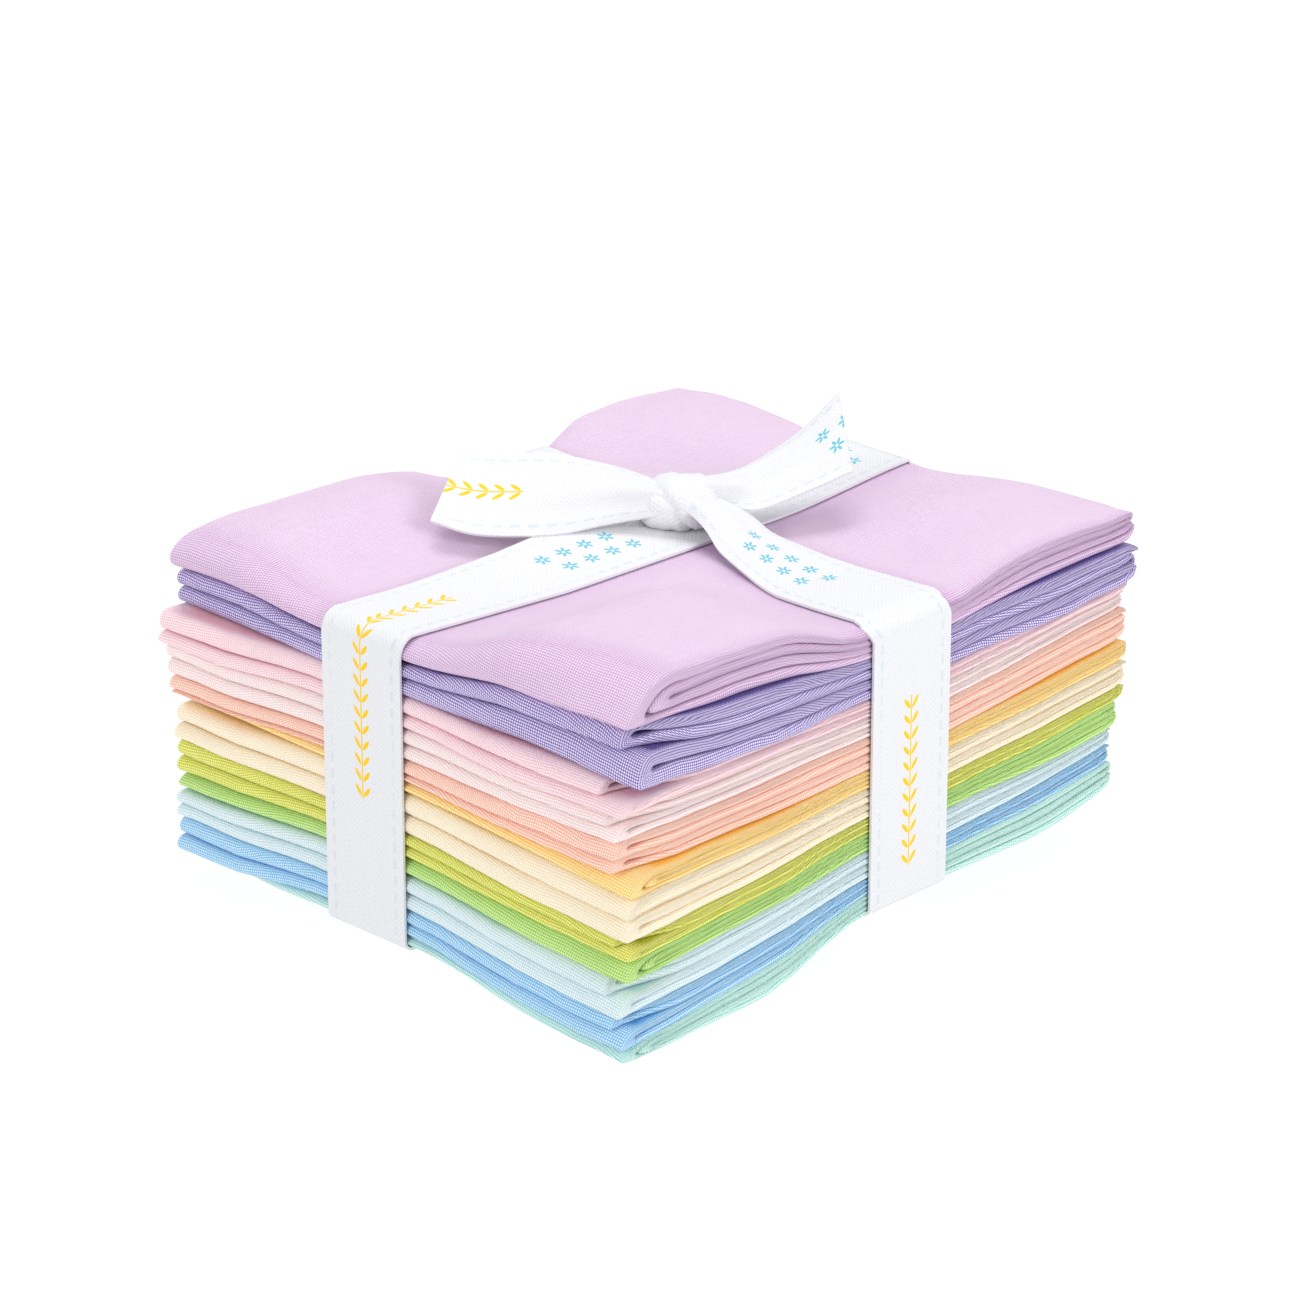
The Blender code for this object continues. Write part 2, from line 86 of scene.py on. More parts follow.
# How far the top droops to its noses, its far end and its sides, and is pressed by the tapes
EDGE_DROOP = 1.6
FAR_DROOP = 0.64
SIDE_DROOP = 0.96
DROOP_REACH = 16.0
SIDE_DROOP_REACH = 12.0
PRESSED_EDGE = 2.0
PRESSED_REACH = 5.0

# How much painted shadow the top gets beside a tape, and how far that reaches
TAPE_SHADE = 0.34
TAPE_SHADE_REACH = 2.0

# Heights of the base: the tapes draw it up
BASE_UNDER_TAPE = 3.5
STRIP_LIFT_PLACES = (-26.0, 0.0, 48.0, 69.5)
STRIP_LIFTS = (0.0, 7.3, 7.2, 12.0)
STRIP_LIFT_START = -31.6
STRIP_LIFT_ROUNDING = 6.0

# The layers of one folded cloth at its nominal thickness
NOMINAL_THICKNESS = 5.2
STRIPS = 4
STRIP_GAP = 0.12
STRIP_PITCH = (NOMINAL_THICKNESS + STRIP_GAP) / STRIPS
STRIP_THICKNESS = STRIP_PITCH - STRIP_GAP
PLIES = 4
PLY_SHARE = 1 / PLIES
HALF_PLY_SHARE = 0.11
CLOTH_GAP = 0.16

# Where the thicknesses are stated, and how much of a puff or a lift of the stack's top or
# base the next cloth boundary takes up
NODE_US = (-HALF_LENGTH, SHORT_TAPE_U, HALF_LENGTH)
NODE_VS = (-HALF_WIDTH, LONG_TAPE_V, HALF_WIDTH)
NODE_ROUNDING = 7.0
BOUNDARY_FOLLOWS = 0.33

# One row a cloth, from the bottom up. Thicknesses in mm are those at the left corner, under
# the long tape, at the front corner, under the short tape and at the right corner. Then, in
# mm, how far the cloth stands out: noses at the left and at the front, strips, far end. Then
# the lower nose's share of the height at the left and at the front corner. The last two give,
# in mm, how far the upper and the lower nose's tips are drawn in at the front corner.
# Each row starts with its name, slot, lit colour and a darker colour that paints the shade in the weave's
# gaps and folds and the yarns' uneven tone, then how it is folded
Cloth = namedtuple(
    "Cloth",
    "name slot lit deep folding left long_tape front short_tape right "
    "nose_left nose_front strips far_end low_left low_front upper_tip lower_tip",
)
CLOTHS = (
    Cloth("mint", "mint_cotton", (0.94, 0.985, 0.97), (0.61, 0.88, 0.83), "nested",
          4.8, 2.1, 2.2, 4.5, 5.6, -6.0, 0.0, -0.3, -1.6, 0.45, 0.45, 0.0, 0.0),
    Cloth("sky_blue", "sky_blue_cotton", (0.86, 0.945, 0.995), (0.42, 0.72, 0.92), "zigzag",
          6.9, 5.1, 5.3, 2.8, 2.9, 0.5, 0.5, -0.5, -2.2, 0.48, 0.48, 2.6, 0.0),
    Cloth("ice_blue", "ice_blue_cotton", (0.965, 0.985, 0.99), (0.74, 0.87, 0.9), "zigzag",
          5.2, 6.5, 7.2, 5.4, 3.5, 0.3, 0.5, -0.5, -1.8, 0.5, 0.5, 3.5, 0.5),
    Cloth("green", "green_cotton", (0.9, 0.97, 0.72), (0.56, 0.81, 0.29), "nested",
          3.7, 3.8, 3.9, 3.4, 5.5, -0.3, 0.0, 0.3, -1.4, 0.48, 0.45, 0.0, 0.0),
    Cloth("chartreuse", "chartreuse_cotton", (0.98, 0.98, 0.64), (0.76, 0.78, 0.1), "zigzag",
          6.6, 4.6, 3.5, 3.0, 2.8, -0.5, -0.5, 0.8, -0.2, 0.5, 0.5, 3.5, 0.0),
    Cloth("cream", "cream_cotton", (1.0, 0.985, 0.95), (0.975, 0.885, 0.7), "zigzag",
          7.2, 7.8, 7.9, 5.5, 5.1, 0.0, 0.0, 0.3, 0.2, 0.47, 0.5, 0.0, 0.0),
    Cloth("yellow", "yellow_cotton", (1.0, 0.955, 0.8), (1.0, 0.8, 0.25), "nested",
          3.6, 2.4, 3.3, 3.4, 3.3, -2.0, -1.0, 0.5, 0.8, 0.5, 0.45, 0.0, 0.0),
    Cloth("peach", "peach_cotton", (1.0, 0.93, 0.89), (0.98, 0.7, 0.59), "zigzag",
          3.2, 3.4, 6.4, 6.8, 6.4, 1.5, 0.0, -1.0, 1.6, 0.12, 0.45, 1.3, 2.0),
    Cloth("pale_pink", "pale_pink_cotton", (1.0, 0.975, 0.975), (0.95, 0.83, 0.82), "zigzag",
          6.7, 6.3, 5.3, 3.7, 3.2, 1.5, 0.5, -1.5, 1.2, 0.5, 0.5, 2.2, 0.4),
    Cloth("pink", "pink_cotton", (1.0, 0.95, 0.965), (0.96, 0.76, 0.8), "zigzag",
          6.8, 6.5, 4.8, 2.9, 3.4, 3.2, 1.5, -0.5, 1.2, 0.38, 0.5, 4.4, -0.8),
    Cloth("purple", "purple_cotton", (0.94, 0.9, 1.0), (0.38, 0.3, 0.64), "zigzag",
          6.6, 5.4, 10.5, 7.9, 7.2, -1.2, -0.5, 2.5, 0.3, 0.5, 0.6, 4.0, 0.0),
    Cloth("lilac", "lilac_cotton", (0.93, 0.865, 0.93), (0.79, 0.61, 0.8), "nested",
          6.3, 4.9, 6.0, 5.4, 5.2, 0.0, 0.0, 0.0, 1.6, 0.42, 0.34, 0.0, 0.0),
)
TOP_CLOTH = len(CLOTHS) - 1

# The middle of the plan in metres, found from the solids of the two loops of tape
PLAN_MIDDLE = Vector((
    (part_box("long_tape")[0].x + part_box("long_tape")[1].x) / 2,
    (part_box("short_tape")[0].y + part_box("short_tape")[1].y) / 2,
    0.0,
))
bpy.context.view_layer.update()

# A wobble is a few waves, each shorter and lower than the one before
WAVES = 4
WAVE_SHORTENS = 0.62
WAVE_LOWERS = 0.7
WAVE_STRAY = (0.85, 1.15)

# The wobbles: a seed, a height and a longest wave in mm, and how far the waves lie askew
Ripple = namedtuple("Ripple", "seed height length slant")
TOP_RIPPLE_U = Ripple(11, 0.16, 58, 0.3)
TOP_RIPPLE_V = Ripple(12, 0.14, 46, -0.2)
BOUNDARY_SWAY = Ripple(100, 0.22, 60, 0.4)
STRIP_WOBBLE = Ripple(900, 0.14, 40, 0.0)
NOSE_WOBBLE = Ripple(2000, 0.22, 36, 0.0)
SEEDS_A_CLOTH = 10


def smooth_fall(distance, flat, reach):
    """1 within the flat distance, falling smoothly to 0 at the reach beyond it."""
    share = np.clip((np.abs(distance) - flat) / reach, 0.0, 1.0)
    return (1 - share ** 2) ** 2


def smooth_rise(value, start, end):
    """0 before the start and 1 past the end, with a smooth step between."""
    share = np.clip((value - start) / (end - start), 0.0, 1.0)
    return share * share * (3 - 2 * share)


def rounded_lines(value, places, amounts, rounding):
    """Straight lines between places, with their corners rounded over a distance."""
    total = 2 * np.interp(value, places, amounts)
    total = total + np.interp(value - rounding, places, amounts)
    total = total + np.interp(value + rounding, places, amounts)
    return total / 4


def wobble(ripple, along, across, shift=0):
    """A seeded smooth wobble in mm along a value in mm; the shift picks another seed."""
    dice = np.random.default_rng(ripple.seed + shift)
    value = along + ripple.slant * across
    total = 0.0
    for step in range(WAVES):
        length = ripple.length * WAVE_SHORTENS ** step * dice.uniform(*WAVE_STRAY)
        phase = dice.uniform(0, 2 * math.pi)
        total = total + WAVE_LOWERS ** step * np.sin(2 * math.pi * value / length + phase)
    return ripple.height * total / 2


def near_long_tape(v):
    return smooth_fall(v - LONG_TAPE_V, FLAT_HALF, PUFF_REACH)


def near_short_tape(u):
    return smooth_fall(u - SHORT_TAPE_U, FLAT_HALF, PUFF_REACH)


def towards_left(v):
    """0 at the strips and 1 at the back, where the left corner is."""
    return np.clip(0.5 + v / (2 * HALF_WIDTH), 0, 1)


def top_height(u, v):
    """Height of the stack's top: level under the tapes, puffed in the four quarters."""
    towards_far = np.clip(0.5 + u / (2 * HALF_LENGTH), 0, 1)
    puff_near = PUFF_FRONT + (PUFF_LEFT - PUFF_FRONT) * towards_left(v)
    puff_far = PUFF_RIGHT + (PUFF_BACK - PUFF_RIGHT) * towards_left(v)
    puff = puff_near + (puff_far - puff_near) * towards_far
    droop = EDGE_DROOP * smooth_rise(-u, HALF_LENGTH - DROOP_REACH, HALF_LENGTH) ** 2
    droop = droop + FAR_DROOP * smooth_rise(u, HALF_LENGTH - DROOP_REACH, HALF_LENGTH)
    droop = droop + SIDE_DROOP * smooth_rise(np.abs(v), HALF_WIDTH - SIDE_DROOP_REACH, HALF_WIDTH) ** 2
    ripple = wobble(TOP_RIPPLE_U, u, v) + wobble(TOP_RIPPLE_V, v, u)
    to_noses = np.clip((-u - RISE_START_U) / (HALF_LENGTH - RISE_START_U), 0, 1)
    to_strips = np.clip((STRIP_LIFT_START - v) / (STRIP_LIFT_START + HALF_WIDTH), 0, 1)
    at_edge = np.maximum(smooth_rise(np.abs(v), HALF_WIDTH - PRESSED_REACH, HALF_WIDTH),
                         smooth_rise(u, HALF_LENGTH - PRESSED_REACH, HALF_LENGTH))
    under = TOP_UNDER_TAPE + TAPE_EDGE_RISE * np.maximum(to_noses, to_strips)
    to_end = smooth_rise(u, RISE_START_U, HALF_LENGTH)
    off_tape = 1 - smooth_fall(u - SHORT_TAPE_U, FLAT_HALF, BACK_TAPE_REACH)
    to_back = smooth_rise(v, RISE_START_V, HALF_WIDTH) * off_tape
    under = under + FAR_EDGE_RISE * (np.maximum(to_end, to_back) - CORNER_RISE_LESS * to_end * to_back)
    under = under - PRESSED_EDGE * at_edge * np.maximum(near_long_tape(v), near_short_tape(u)) ** 4
    free = (1 - near_long_tape(v)) * (1 - near_short_tape(u))
    return under + np.maximum(0, TOP_UNDER_TAPE + puff - droop + ripple - under) * free


def base_height(u, v):
    """Height of the stack's base: on the ground in the quarters, lifted at the tapes."""
    under_tapes = np.maximum(near_long_tape(v), near_short_tape(u)) * BASE_UNDER_TAPE
    towards = np.maximum(0, (STRIP_LIFT_START - v) / (STRIP_LIFT_START + HALF_WIDTH))
    lift = rounded_lines(u, STRIP_LIFT_PLACES, STRIP_LIFTS, STRIP_LIFT_ROUNDING) * towards
    return np.maximum(under_tapes, lift)


def node_thicknesses(cloth):
    """A row's thicknesses at the nodes, by u and then v; hidden ones are means of their sides."""
    hidden = (cloth.left + cloth.right) / 2
    centre = (cloth.long_tape + cloth.short_tape) / 2
    return (
        (cloth.front, cloth.long_tape, cloth.left),
        (cloth.short_tape, centre, (cloth.left + hidden) / 2),
        (cloth.right, (cloth.right + hidden) / 2, hidden),
    )


def node_levels():
    """Heights of the base, of every cloth boundary and of the top, at each node."""
    thicknesses = np.array([node_thicknesses(cloth) for cloth in CLOTHS])
    u, v = np.meshgrid(NODE_US, NODE_VS, indexing="ij")
    base = base_height(u, v)
    scale = (top_height(u, v) - base) / thicknesses.sum(axis=0)
    sums = np.concatenate((np.zeros((1, 3, 3)), np.cumsum(thicknesses, axis=0)))
    return base + scale * sums


NODE_LEVELS = node_levels()


def node_weights(u, v):
    """How much each node counts at a place; the straight lines' corners are rounded."""
    u_weights = [rounded_lines(u, NODE_US, row, NODE_ROUNDING) for row in np.eye(3)]
    v_weights = [rounded_lines(v, NODE_VS, row, NODE_ROUNDING) for row in np.eye(3)]
    return [[u_weight * v_weight for v_weight in v_weights] for u_weight in u_weights]


def height_at(index, share, u, v):
    """Height of a point in a cloth, at a share of that cloth's own thickness.

    A cloth's boundaries run straight between the nodes, and follow the base's lift and the
    top's puffs the less, the further they are from them."""
    weights = node_weights(u, v)

    def between_nodes(boundary):
        return sum(weights[i][j] * NODE_LEVELS[boundary, i, j] for i in range(3) for j in range(3))

    base_lift = base_height(u, v) - between_nodes(0)
    top_lift = top_height(u, v) - between_nodes(len(CLOTHS))

    def boundary_height(boundary):
        from_top = len(CLOTHS) - boundary
        sway = wobble(BOUNDARY_SWAY, u, v, boundary) * (0 < boundary < len(CLOTHS))
        follows = base_lift * BOUNDARY_FOLLOWS ** boundary + top_lift * BOUNDARY_FOLLOWS ** from_top
        return between_nodes(boundary) + follows + sway

    low = boundary_height(index)
    high = boundary_height(index + 1)
    if index > 0:
        low = low + CLOTH_GAP / 2
    if index < TOP_CLOTH:
        high = high - CLOTH_GAP / 2
    return low + share * (high - low)


def plan_point(u, v):
    """Lay the plan's lines askew, as the tapes run, but keep the outline of the stack."""
    in_length = np.maximum(0, 1 - (u / HALF_LENGTH) ** 2)
    in_width = np.maximum(0, 1 - (v / HALF_WIDTH) ** 2)
    return u + SHORT_TAPE_SKEW * v * in_length, v + LONG_TAPE_SKEW * u * in_width


# The path of the strips: where the middle of the band runs, and which way is across it
PathStep = namedtuple("PathStep", "u level across_u across_level outer near_end strip_a strip_b turn")
PATH_CROWDING = 1.6
NEAR_END_REACH = 5.0

# The order in which the band takes the strips, which face of each is outside at its start and
# at its end, and the steps of the bends between them
STRIP_RUNS = {
    "nested": ((0, 3, 2, 1), ((0, 1), (1, 1), (1, -1), (-1, 0)), (14, 7, 7)),
    "zigzag": ((0, 1, 2, 3), ((0, 1), (1, -1), (-1, 1), (1, 0)), (9, 9, 9)),
}

# The path of the plies across the band: place, share of the band, and which way is across
PlyStep = namedtuple("PlyStep", "v share across_v across_share ply")
OUTER_PLY_STEPS = 8
INNER_PLY_STEPS = 4
LAST_PLY_SHORT = 0.8


def spread(start, end, count):
    """Places from start to end that crowd towards both ends."""
    share = np.linspace(-1, 1, count)
    bent = np.sign(share) * (1 - (1 - np.abs(share)) ** PATH_CROWDING)
    return start + (end - start) * (bent + 1) / 2


def strip_run(strip, start_u, end_u, outer_start, outer_end, count):
    """Steps along one strip; the outer signs say which face is outside at each end."""
    level = STRIP_THICKNESS / 2 + strip * STRIP_PITCH
    forward = 1 if end_u > start_u else -1
    steps = []
    for u in spread(start_u, end_u, count):
        from_start = abs(u - start_u)
        from_end = abs(u - end_u)
        outer = outer_start if from_start < from_end else outer_end
        near = 1 - float(smooth_rise(min(from_start, from_end), 0.0, NEAR_END_REACH))
        steps.append(PathStep(u, level, 0.0, forward, outer, near, strip, strip, 0.0))
    return steps


def bend(level_a, level_b, centre, outward, side, steps, scale=1.0):
    """Places round a bend between two levels, without its ends.

    Each is its place, its level, which way is across by place and by level, and its share."""
    radius = abs(level_b - level_a) / 2
    middle = (level_a + level_b) / 2
    rising = 1 if level_b > level_a else -1
    for step in range(1, steps):
        angle = math.pi * step / steps
        out = outward * math.sin(angle)
        rise = -math.cos(angle) * rising
        yield centre + radius * scale * out, middle + radius * rise, side * out, side * rise, step / steps


def strip_path(folding, count):
    """The whole run of the band through its four strips, from its free end."""
    half = STRIP_THICKNESS / 2
    tight_end = HALF_LENGTH - 0.5 * STRIP_PITCH - half
    nose_radius = 1.5 if folding == "nested" else 0.5
    nose = -HALF_LENGTH + nose_radius * STRIP_PITCH + half
    places = (HALF_LENGTH, nose, tight_end, nose, HALF_LENGTH)
    strips, outers, bend_steps = STRIP_RUNS[folding]
    path = []
    for i, strip in enumerate(strips):
        path += strip_run(strip, places[i], places[i + 1], *outers[i], count)
        if i + 1 < STRIPS:
            following = strips[i + 1]
            outward = 1 if places[i + 1] > 0 else -1
            side = -outward if following > strip else outward
            turns = bend(half + strip * STRIP_PITCH, half + following * STRIP_PITCH,
                         places[i + 1], outward, side, bend_steps[i])
            path += [PathStep(*turned[:4], side, 1.0, strip, following, turned[4]) for turned in turns]
    return path


def ply_run(ply, start_v, end_v, count):
    share = (ply + 0.5) * PLY_SHARE
    forward = 1 if end_v > start_v else -1
    return [PlyStep(v, share, 0.0, -forward, ply) for v in spread(start_v, end_v, count)]


def ply_bend(ply_a, ply_b, centre_v, outward, steps):
    side = outward if ply_b > ply_a else -outward
    turns = bend((ply_a + 0.5) * PLY_SHARE, (ply_b + 0.5) * PLY_SHARE,
                 centre_v, outward, side, steps, STRIP_THICKNESS)
    return [PlyStep(*turned[:4], ply_a) for turned in turns]


def ply_path(count):
    """The first two folds: four plies, the outer two joined round the strip's edge."""
    ply_mm = STRIP_THICKNESS * PLY_SHARE
    edge = -HALF_WIDTH + 1.5 * ply_mm + ply_mm / 2
    far_bend = HALF_WIDTH - ply_mm
    return (
        ply_run(3, HALF_WIDTH, edge, count)
        + ply_bend(3, 0, edge, -1, OUTER_PLY_STEPS)
        + ply_run(0, edge, far_bend, count)
        + ply_bend(0, 1, far_bend, 1, INNER_PLY_STEPS)
        + ply_run(1, far_bend, edge, count)
        + ply_bend(1, 2, edge, -1, INNER_PLY_STEPS)
        + ply_run(2, edge, HALF_WIDTH - LAST_PLY_SHORT, count)
    )


# How deep a nose's rounding goes, how much longer than high it is on the nose face and at the
# front corner, and how far its tip sags there, by the way the cloth is folded
Nose = namedtuple("Nose", "depth on_face at_corner sag pairs")
NOSES = {
    "nested": Nose(2.66, 1.6, 3.2, 2.4, 1),
    "zigzag": Nose(1.33, 1.25, 3.6, 2.2, 2),
}
TOP_NOSE = Nose(2.66, 1.9, 5.2, 2.4, 1)
NOSE_BLEND = 40.0
NOSE_CORNER = (20, 56)
NOSE_SHARE_REACH = (35, 62)

# Which strip's offset each strip's nose takes: strips that share a nose move together
NOSE_OF_STRIP = {"nested": [0, 1, 1, 0], "zigzag": [0, 0, 2, 2]}

# How a strip's end opens, and the more where its nose's tip is drawn in
END_OPENING = 0.10
TIP_OPENING = 0.05
TIP_OPENING_UP_TO = 5.0

# How far the strips, noses, far ends and loose plies stray outwards, in mm, and how far inside
# the outline that reaches
STRAY_SEED = 500
STRIP_STRAY = (-0.32, 0.32)
NOSE_STRAY = (-0.35, 0.35)
END_STRAY = (-0.5, 0.35)
PLY_STRAY = (-1.0, 0.3)
OUTWARD_REACH = 32.0
SIDEWAYS_REACH = 22.0

# The part of the front corner where the noses' tips are drawn in
TIP_REACH_U = (48, 66)
TIP_REACH_V = (30, 57)

# The far end's rounding, how far it closes, and the right corner cut round in plan
END_ROUNDING = 3.6
TOP_END_CLOSES = 0.62
END_CLOSES = 0.34
CORNER_CUT = 1.1
CORNER_CUT_REACH = (40, 57)

# Where the painted shade in the folds starts and is darkest, in mm inside each side; the noses' are
# shares of their depth. The last two say where the top's weave evens out, with less painted shade
NOSE_SHADE = (0.5, 1.6)
STRIP_SHADE = (0.45, 2.2)
FAR_SHADE = (0.8, 5.0)
BACK_SHADE = (1.2, 6.0)
TOP_FROM_NOSE = (1.0, 9.0)
TOP_FROM_STRIPS = (0.5, 4.0)


def cloth_points(index, rows, columns, side):
    """Place the grid of one face of a folded sheet; side is +1 or -1 across the ply.

    The second result is the painted shade, from how far inside the folds each point lies."""
    cloth = CLOTHS[index]
    row = {name: np.array([getattr(step, name) for step in rows], float)[:, None]
           for name in PathStep._fields}
    column = {name: np.array([getattr(step, name) for step in columns], float)[None, :]
              for name in PlyStep._fields}
    share = column["share"] + side * HALF_PLY_SHARE * column["across_share"] - 0.5
    v = column["v"] + side * HALF_PLY_SHARE * STRIP_THICKNESS * column["across_v"]
    v = np.broadcast_to(v, (len(rows), len(columns)))
    tip = np.where(row["level"] > NOMINAL_THICKNESS / 2, cloth.upper_tip, cloth.lower_tip)
    opening = (END_OPENING + TIP_OPENING * np.clip(tip, 0, TIP_OPENING_UP_TO)) * row["near_end"]
    offset = STRIP_THICKNESS * (share * (1 - opening) + row["outer"] * opening / 2)
    u = row["u"] + row["across_u"] * offset
    level_share = (row["level"] + row["across_level"] * offset) / NOMINAL_THICKNESS
    # The painted shade, from where the point lies inside the folds
    depth = painted_shade_amount(index, row, column, side, u, v)
    u, level_share = shape_nose(index, u, v, level_share)
    level_share, corner_cut = shape_far_end(index, u, v, level_share)

    # The lower nose takes its own share of the height near the noses
    low = cloth.low_front + (cloth.low_left - cloth.low_front) * towards_left(v)
    to_nose = smooth_rise(-u, *NOSE_SHARE_REACH)
    level_share = level_share + (low - 0.5) * 4 * level_share * (1 - level_share) * to_nose
    u, v = stray_outwards(index, row, column, u, v, tip)
    v = v + corner_cut
    x, y = plan_point(u, v)
    return np.stack((x, y, height_at(index, level_share, u, v)), axis=-1), depth


def shape_nose(index, u, v, level_share):
    """Draw a nose out along the cloth, most of all at the front corner, where its tip sags."""
    nose = TOP_NOSE if index == TOP_CLOTH else NOSES[CLOTHS[index].folding]
    at_corner = smooth_rise(-v, *NOSE_CORNER)
    stretch = nose.on_face + (nose.at_corner - nose.on_face) * at_corner
    from_tip = u + HALF_LENGTH
    reach = nose.depth * stretch
    beyond = reach + (from_tip - nose.depth) * (NOSE_BLEND - reach) / (NOSE_BLEND - nose.depth)
    drawn = np.where(from_tip < NOSE_BLEND, beyond, from_tip)
    drawn = np.where(from_tip < nose.depth, from_tip * stretch, drawn)
    near_tip = 1 - np.clip(drawn / reach, 0, 1)
    pair = np.minimum(np.floor(level_share * nose.pairs), nose.pairs - 1)
    within = np.clip(level_share * nose.pairs - pair, 0, 1)
    sagged = within ** (1 + nose.sag * at_corner * near_tip ** 3)
    return drawn - HALF_LENGTH, (pair + sagged) / nose.pairs


def shape_far_end(index, u, v, level_share):
    """Close the far end to a round, and say how far the right corner is cut round in plan."""
    into_end = np.clip((u - HALF_LENGTH + END_ROUNDING) / END_ROUNDING, 0, 1)
    closed = TOP_END_CLOSES if index == TOP_CLOTH else END_CLOSES
    closing = 1 - closed + closed * np.sqrt(1 - into_end ** 2)
    corner_cut = CORNER_CUT * into_end ** 2 * smooth_rise(-v, *CORNER_CUT_REACH)
    return 0.5 + (level_share - 0.5) * closing, corner_cut


def stray_outwards(index, row, column, u, v, tip):
    """Give each strip, nose, far end and loose ply its own small offset, and each strip and nose its own
    wobble.
    """
    cloth = CLOTHS[index]
    dice = np.random.default_rng(STRAY_SEED + index)
    strip_offsets = dice.uniform(*STRIP_STRAY, STRIPS)
    nose_offsets = dice.uniform(*NOSE_STRAY, STRIPS)[NOSE_OF_STRIP[cloth.folding]]
    end_offsets = dice.uniform(*END_STRAY, STRIPS)
    ply_offsets = dice.uniform(*PLY_STRAY, PLIES)
    weights = [(row["strip_a"] == strip) * (1 - row["turn"]) + (row["strip_b"] == strip) * row["turn"]
               for strip in range(STRIPS)]
    first_seed = SEEDS_A_CLOTH * index

    def of_strip(amounts):
        return sum(weight * amount for weight, amount in zip(weights, amounts))

    def drawn_in(amount, beside):
        return amount * beside - SIDE_PINCH * (1 - beside)

    beside_long = 1 - near_long_tape(v)
    beside_short = 1 - near_short_tape(u)
    nose = cloth.nose_front + (cloth.nose_left - cloth.nose_front) * towards_left(v)
    nose = nose + of_strip(nose_offsets)
    nose = nose + of_strip([wobble(NOSE_WOBBLE, v, u, first_seed + strip // 2) for strip in range(STRIPS)])
    strips = cloth.strips + of_strip(strip_offsets)
    strips = strips + of_strip([wobble(STRIP_WOBBLE, u, v, first_seed + strip) for strip in range(STRIPS)])
    nose = drawn_in(nose, beside_long)
    far = drawn_in(cloth.far_end + of_strip(end_offsets), beside_long)
    strips = drawn_in(strips, beside_short)
    back = drawn_in(ply_offsets[column["ply"].astype(int)], beside_short)
    to_noses = smooth_rise(-u, HALF_LENGTH - OUTWARD_REACH, HALF_LENGTH)
    to_end = smooth_rise(u, HALF_LENGTH - OUTWARD_REACH, HALF_LENGTH)
    to_strips = smooth_rise(-v, HALF_WIDTH - SIDEWAYS_REACH, HALF_WIDTH)
    to_back = smooth_rise(v, HALF_WIDTH - SIDEWAYS_REACH, HALF_WIDTH)
    u = u + to_end * far - to_noses * nose
    at_front_corner = smooth_rise(-u, *TIP_REACH_U) * smooth_rise(-v, *TIP_REACH_V)
    return u, v - to_strips * strips + to_back * back + at_front_corner * tip


def painted_shade_amount(index, row, column, side, u, v):
    """How far inside the folds a point lies, as painted shade: 0 where the cloth bends outside, 1 far
    inside.

    On the top it is painted shadow beside the tapes, and -1 on the flat top, where the weave lies
    close and its gaps get less painted shade."""
    nose = NOSES[CLOTHS[index].folding].depth
    depth = smooth_rise(u + HALF_LENGTH, NOSE_SHADE[0] * nose, NOSE_SHADE[1] * nose)
    depth = depth * smooth_rise(v + HALF_WIDTH, *STRIP_SHADE)
    depth = depth * smooth_rise(HALF_LENGTH - u, *FAR_SHADE) * smooth_rise(HALF_WIDTH - v, *BACK_SHADE)
    # On the top: painted shadow beside the tapes, and less painted weave shade on the flat
    if index == TOP_CLOTH and side > 0:
        top_strip = (row["strip_a"] == STRIPS - 1) & (row["strip_b"] == STRIPS - 1)
        on_top = top_strip & (column["ply"] == PLIES - 1)
        from_bends = smooth_rise(u + HALF_LENGTH, *TOP_FROM_NOSE)
        from_bends = from_bends * smooth_rise(v + HALF_WIDTH, *TOP_FROM_STRIPS)
        from_long = np.abs(v - LONG_TAPE_V) - TAPE_WIDTH / 2
        from_short = np.abs(u - SHORT_TAPE_U - short_tape_middle(v)) - short_tape_half(v)
        shaded = np.exp(-(np.clip(np.minimum(from_long, from_short), 0, None) / TAPE_SHADE_REACH) ** 2)
        depth = np.where(on_top, TAPE_SHADE * shaded - from_bends * (1 - shaded), depth)
    return depth


def path_lengths(points):
    steps = np.linalg.norm(np.diff(points, axis=0), axis=1)
    return np.concatenate(([0.0], np.cumsum(steps)))


def surface_lengths(top, bottom, axis):
    """Lengths run along a sheet's grid, on whichever of its two faces is the longer."""
    steps = np.maximum(
        np.linalg.norm(np.diff(top, axis=axis), axis=-1),
        np.linalg.norm(np.diff(bottom, axis=axis), axis=-1),
    )
    lengths = np.cumsum(steps, axis=axis)
    start = np.zeros_like(np.take(lengths, [0], axis=axis))
    return np.concatenate((start, lengths), axis=axis)


LENGTHS_LAYER = "cloth_lengths"
# The point attribute that carries the painted shade in the folds
PAINTED_SHADE_LAYER = "painted_shade_amount"


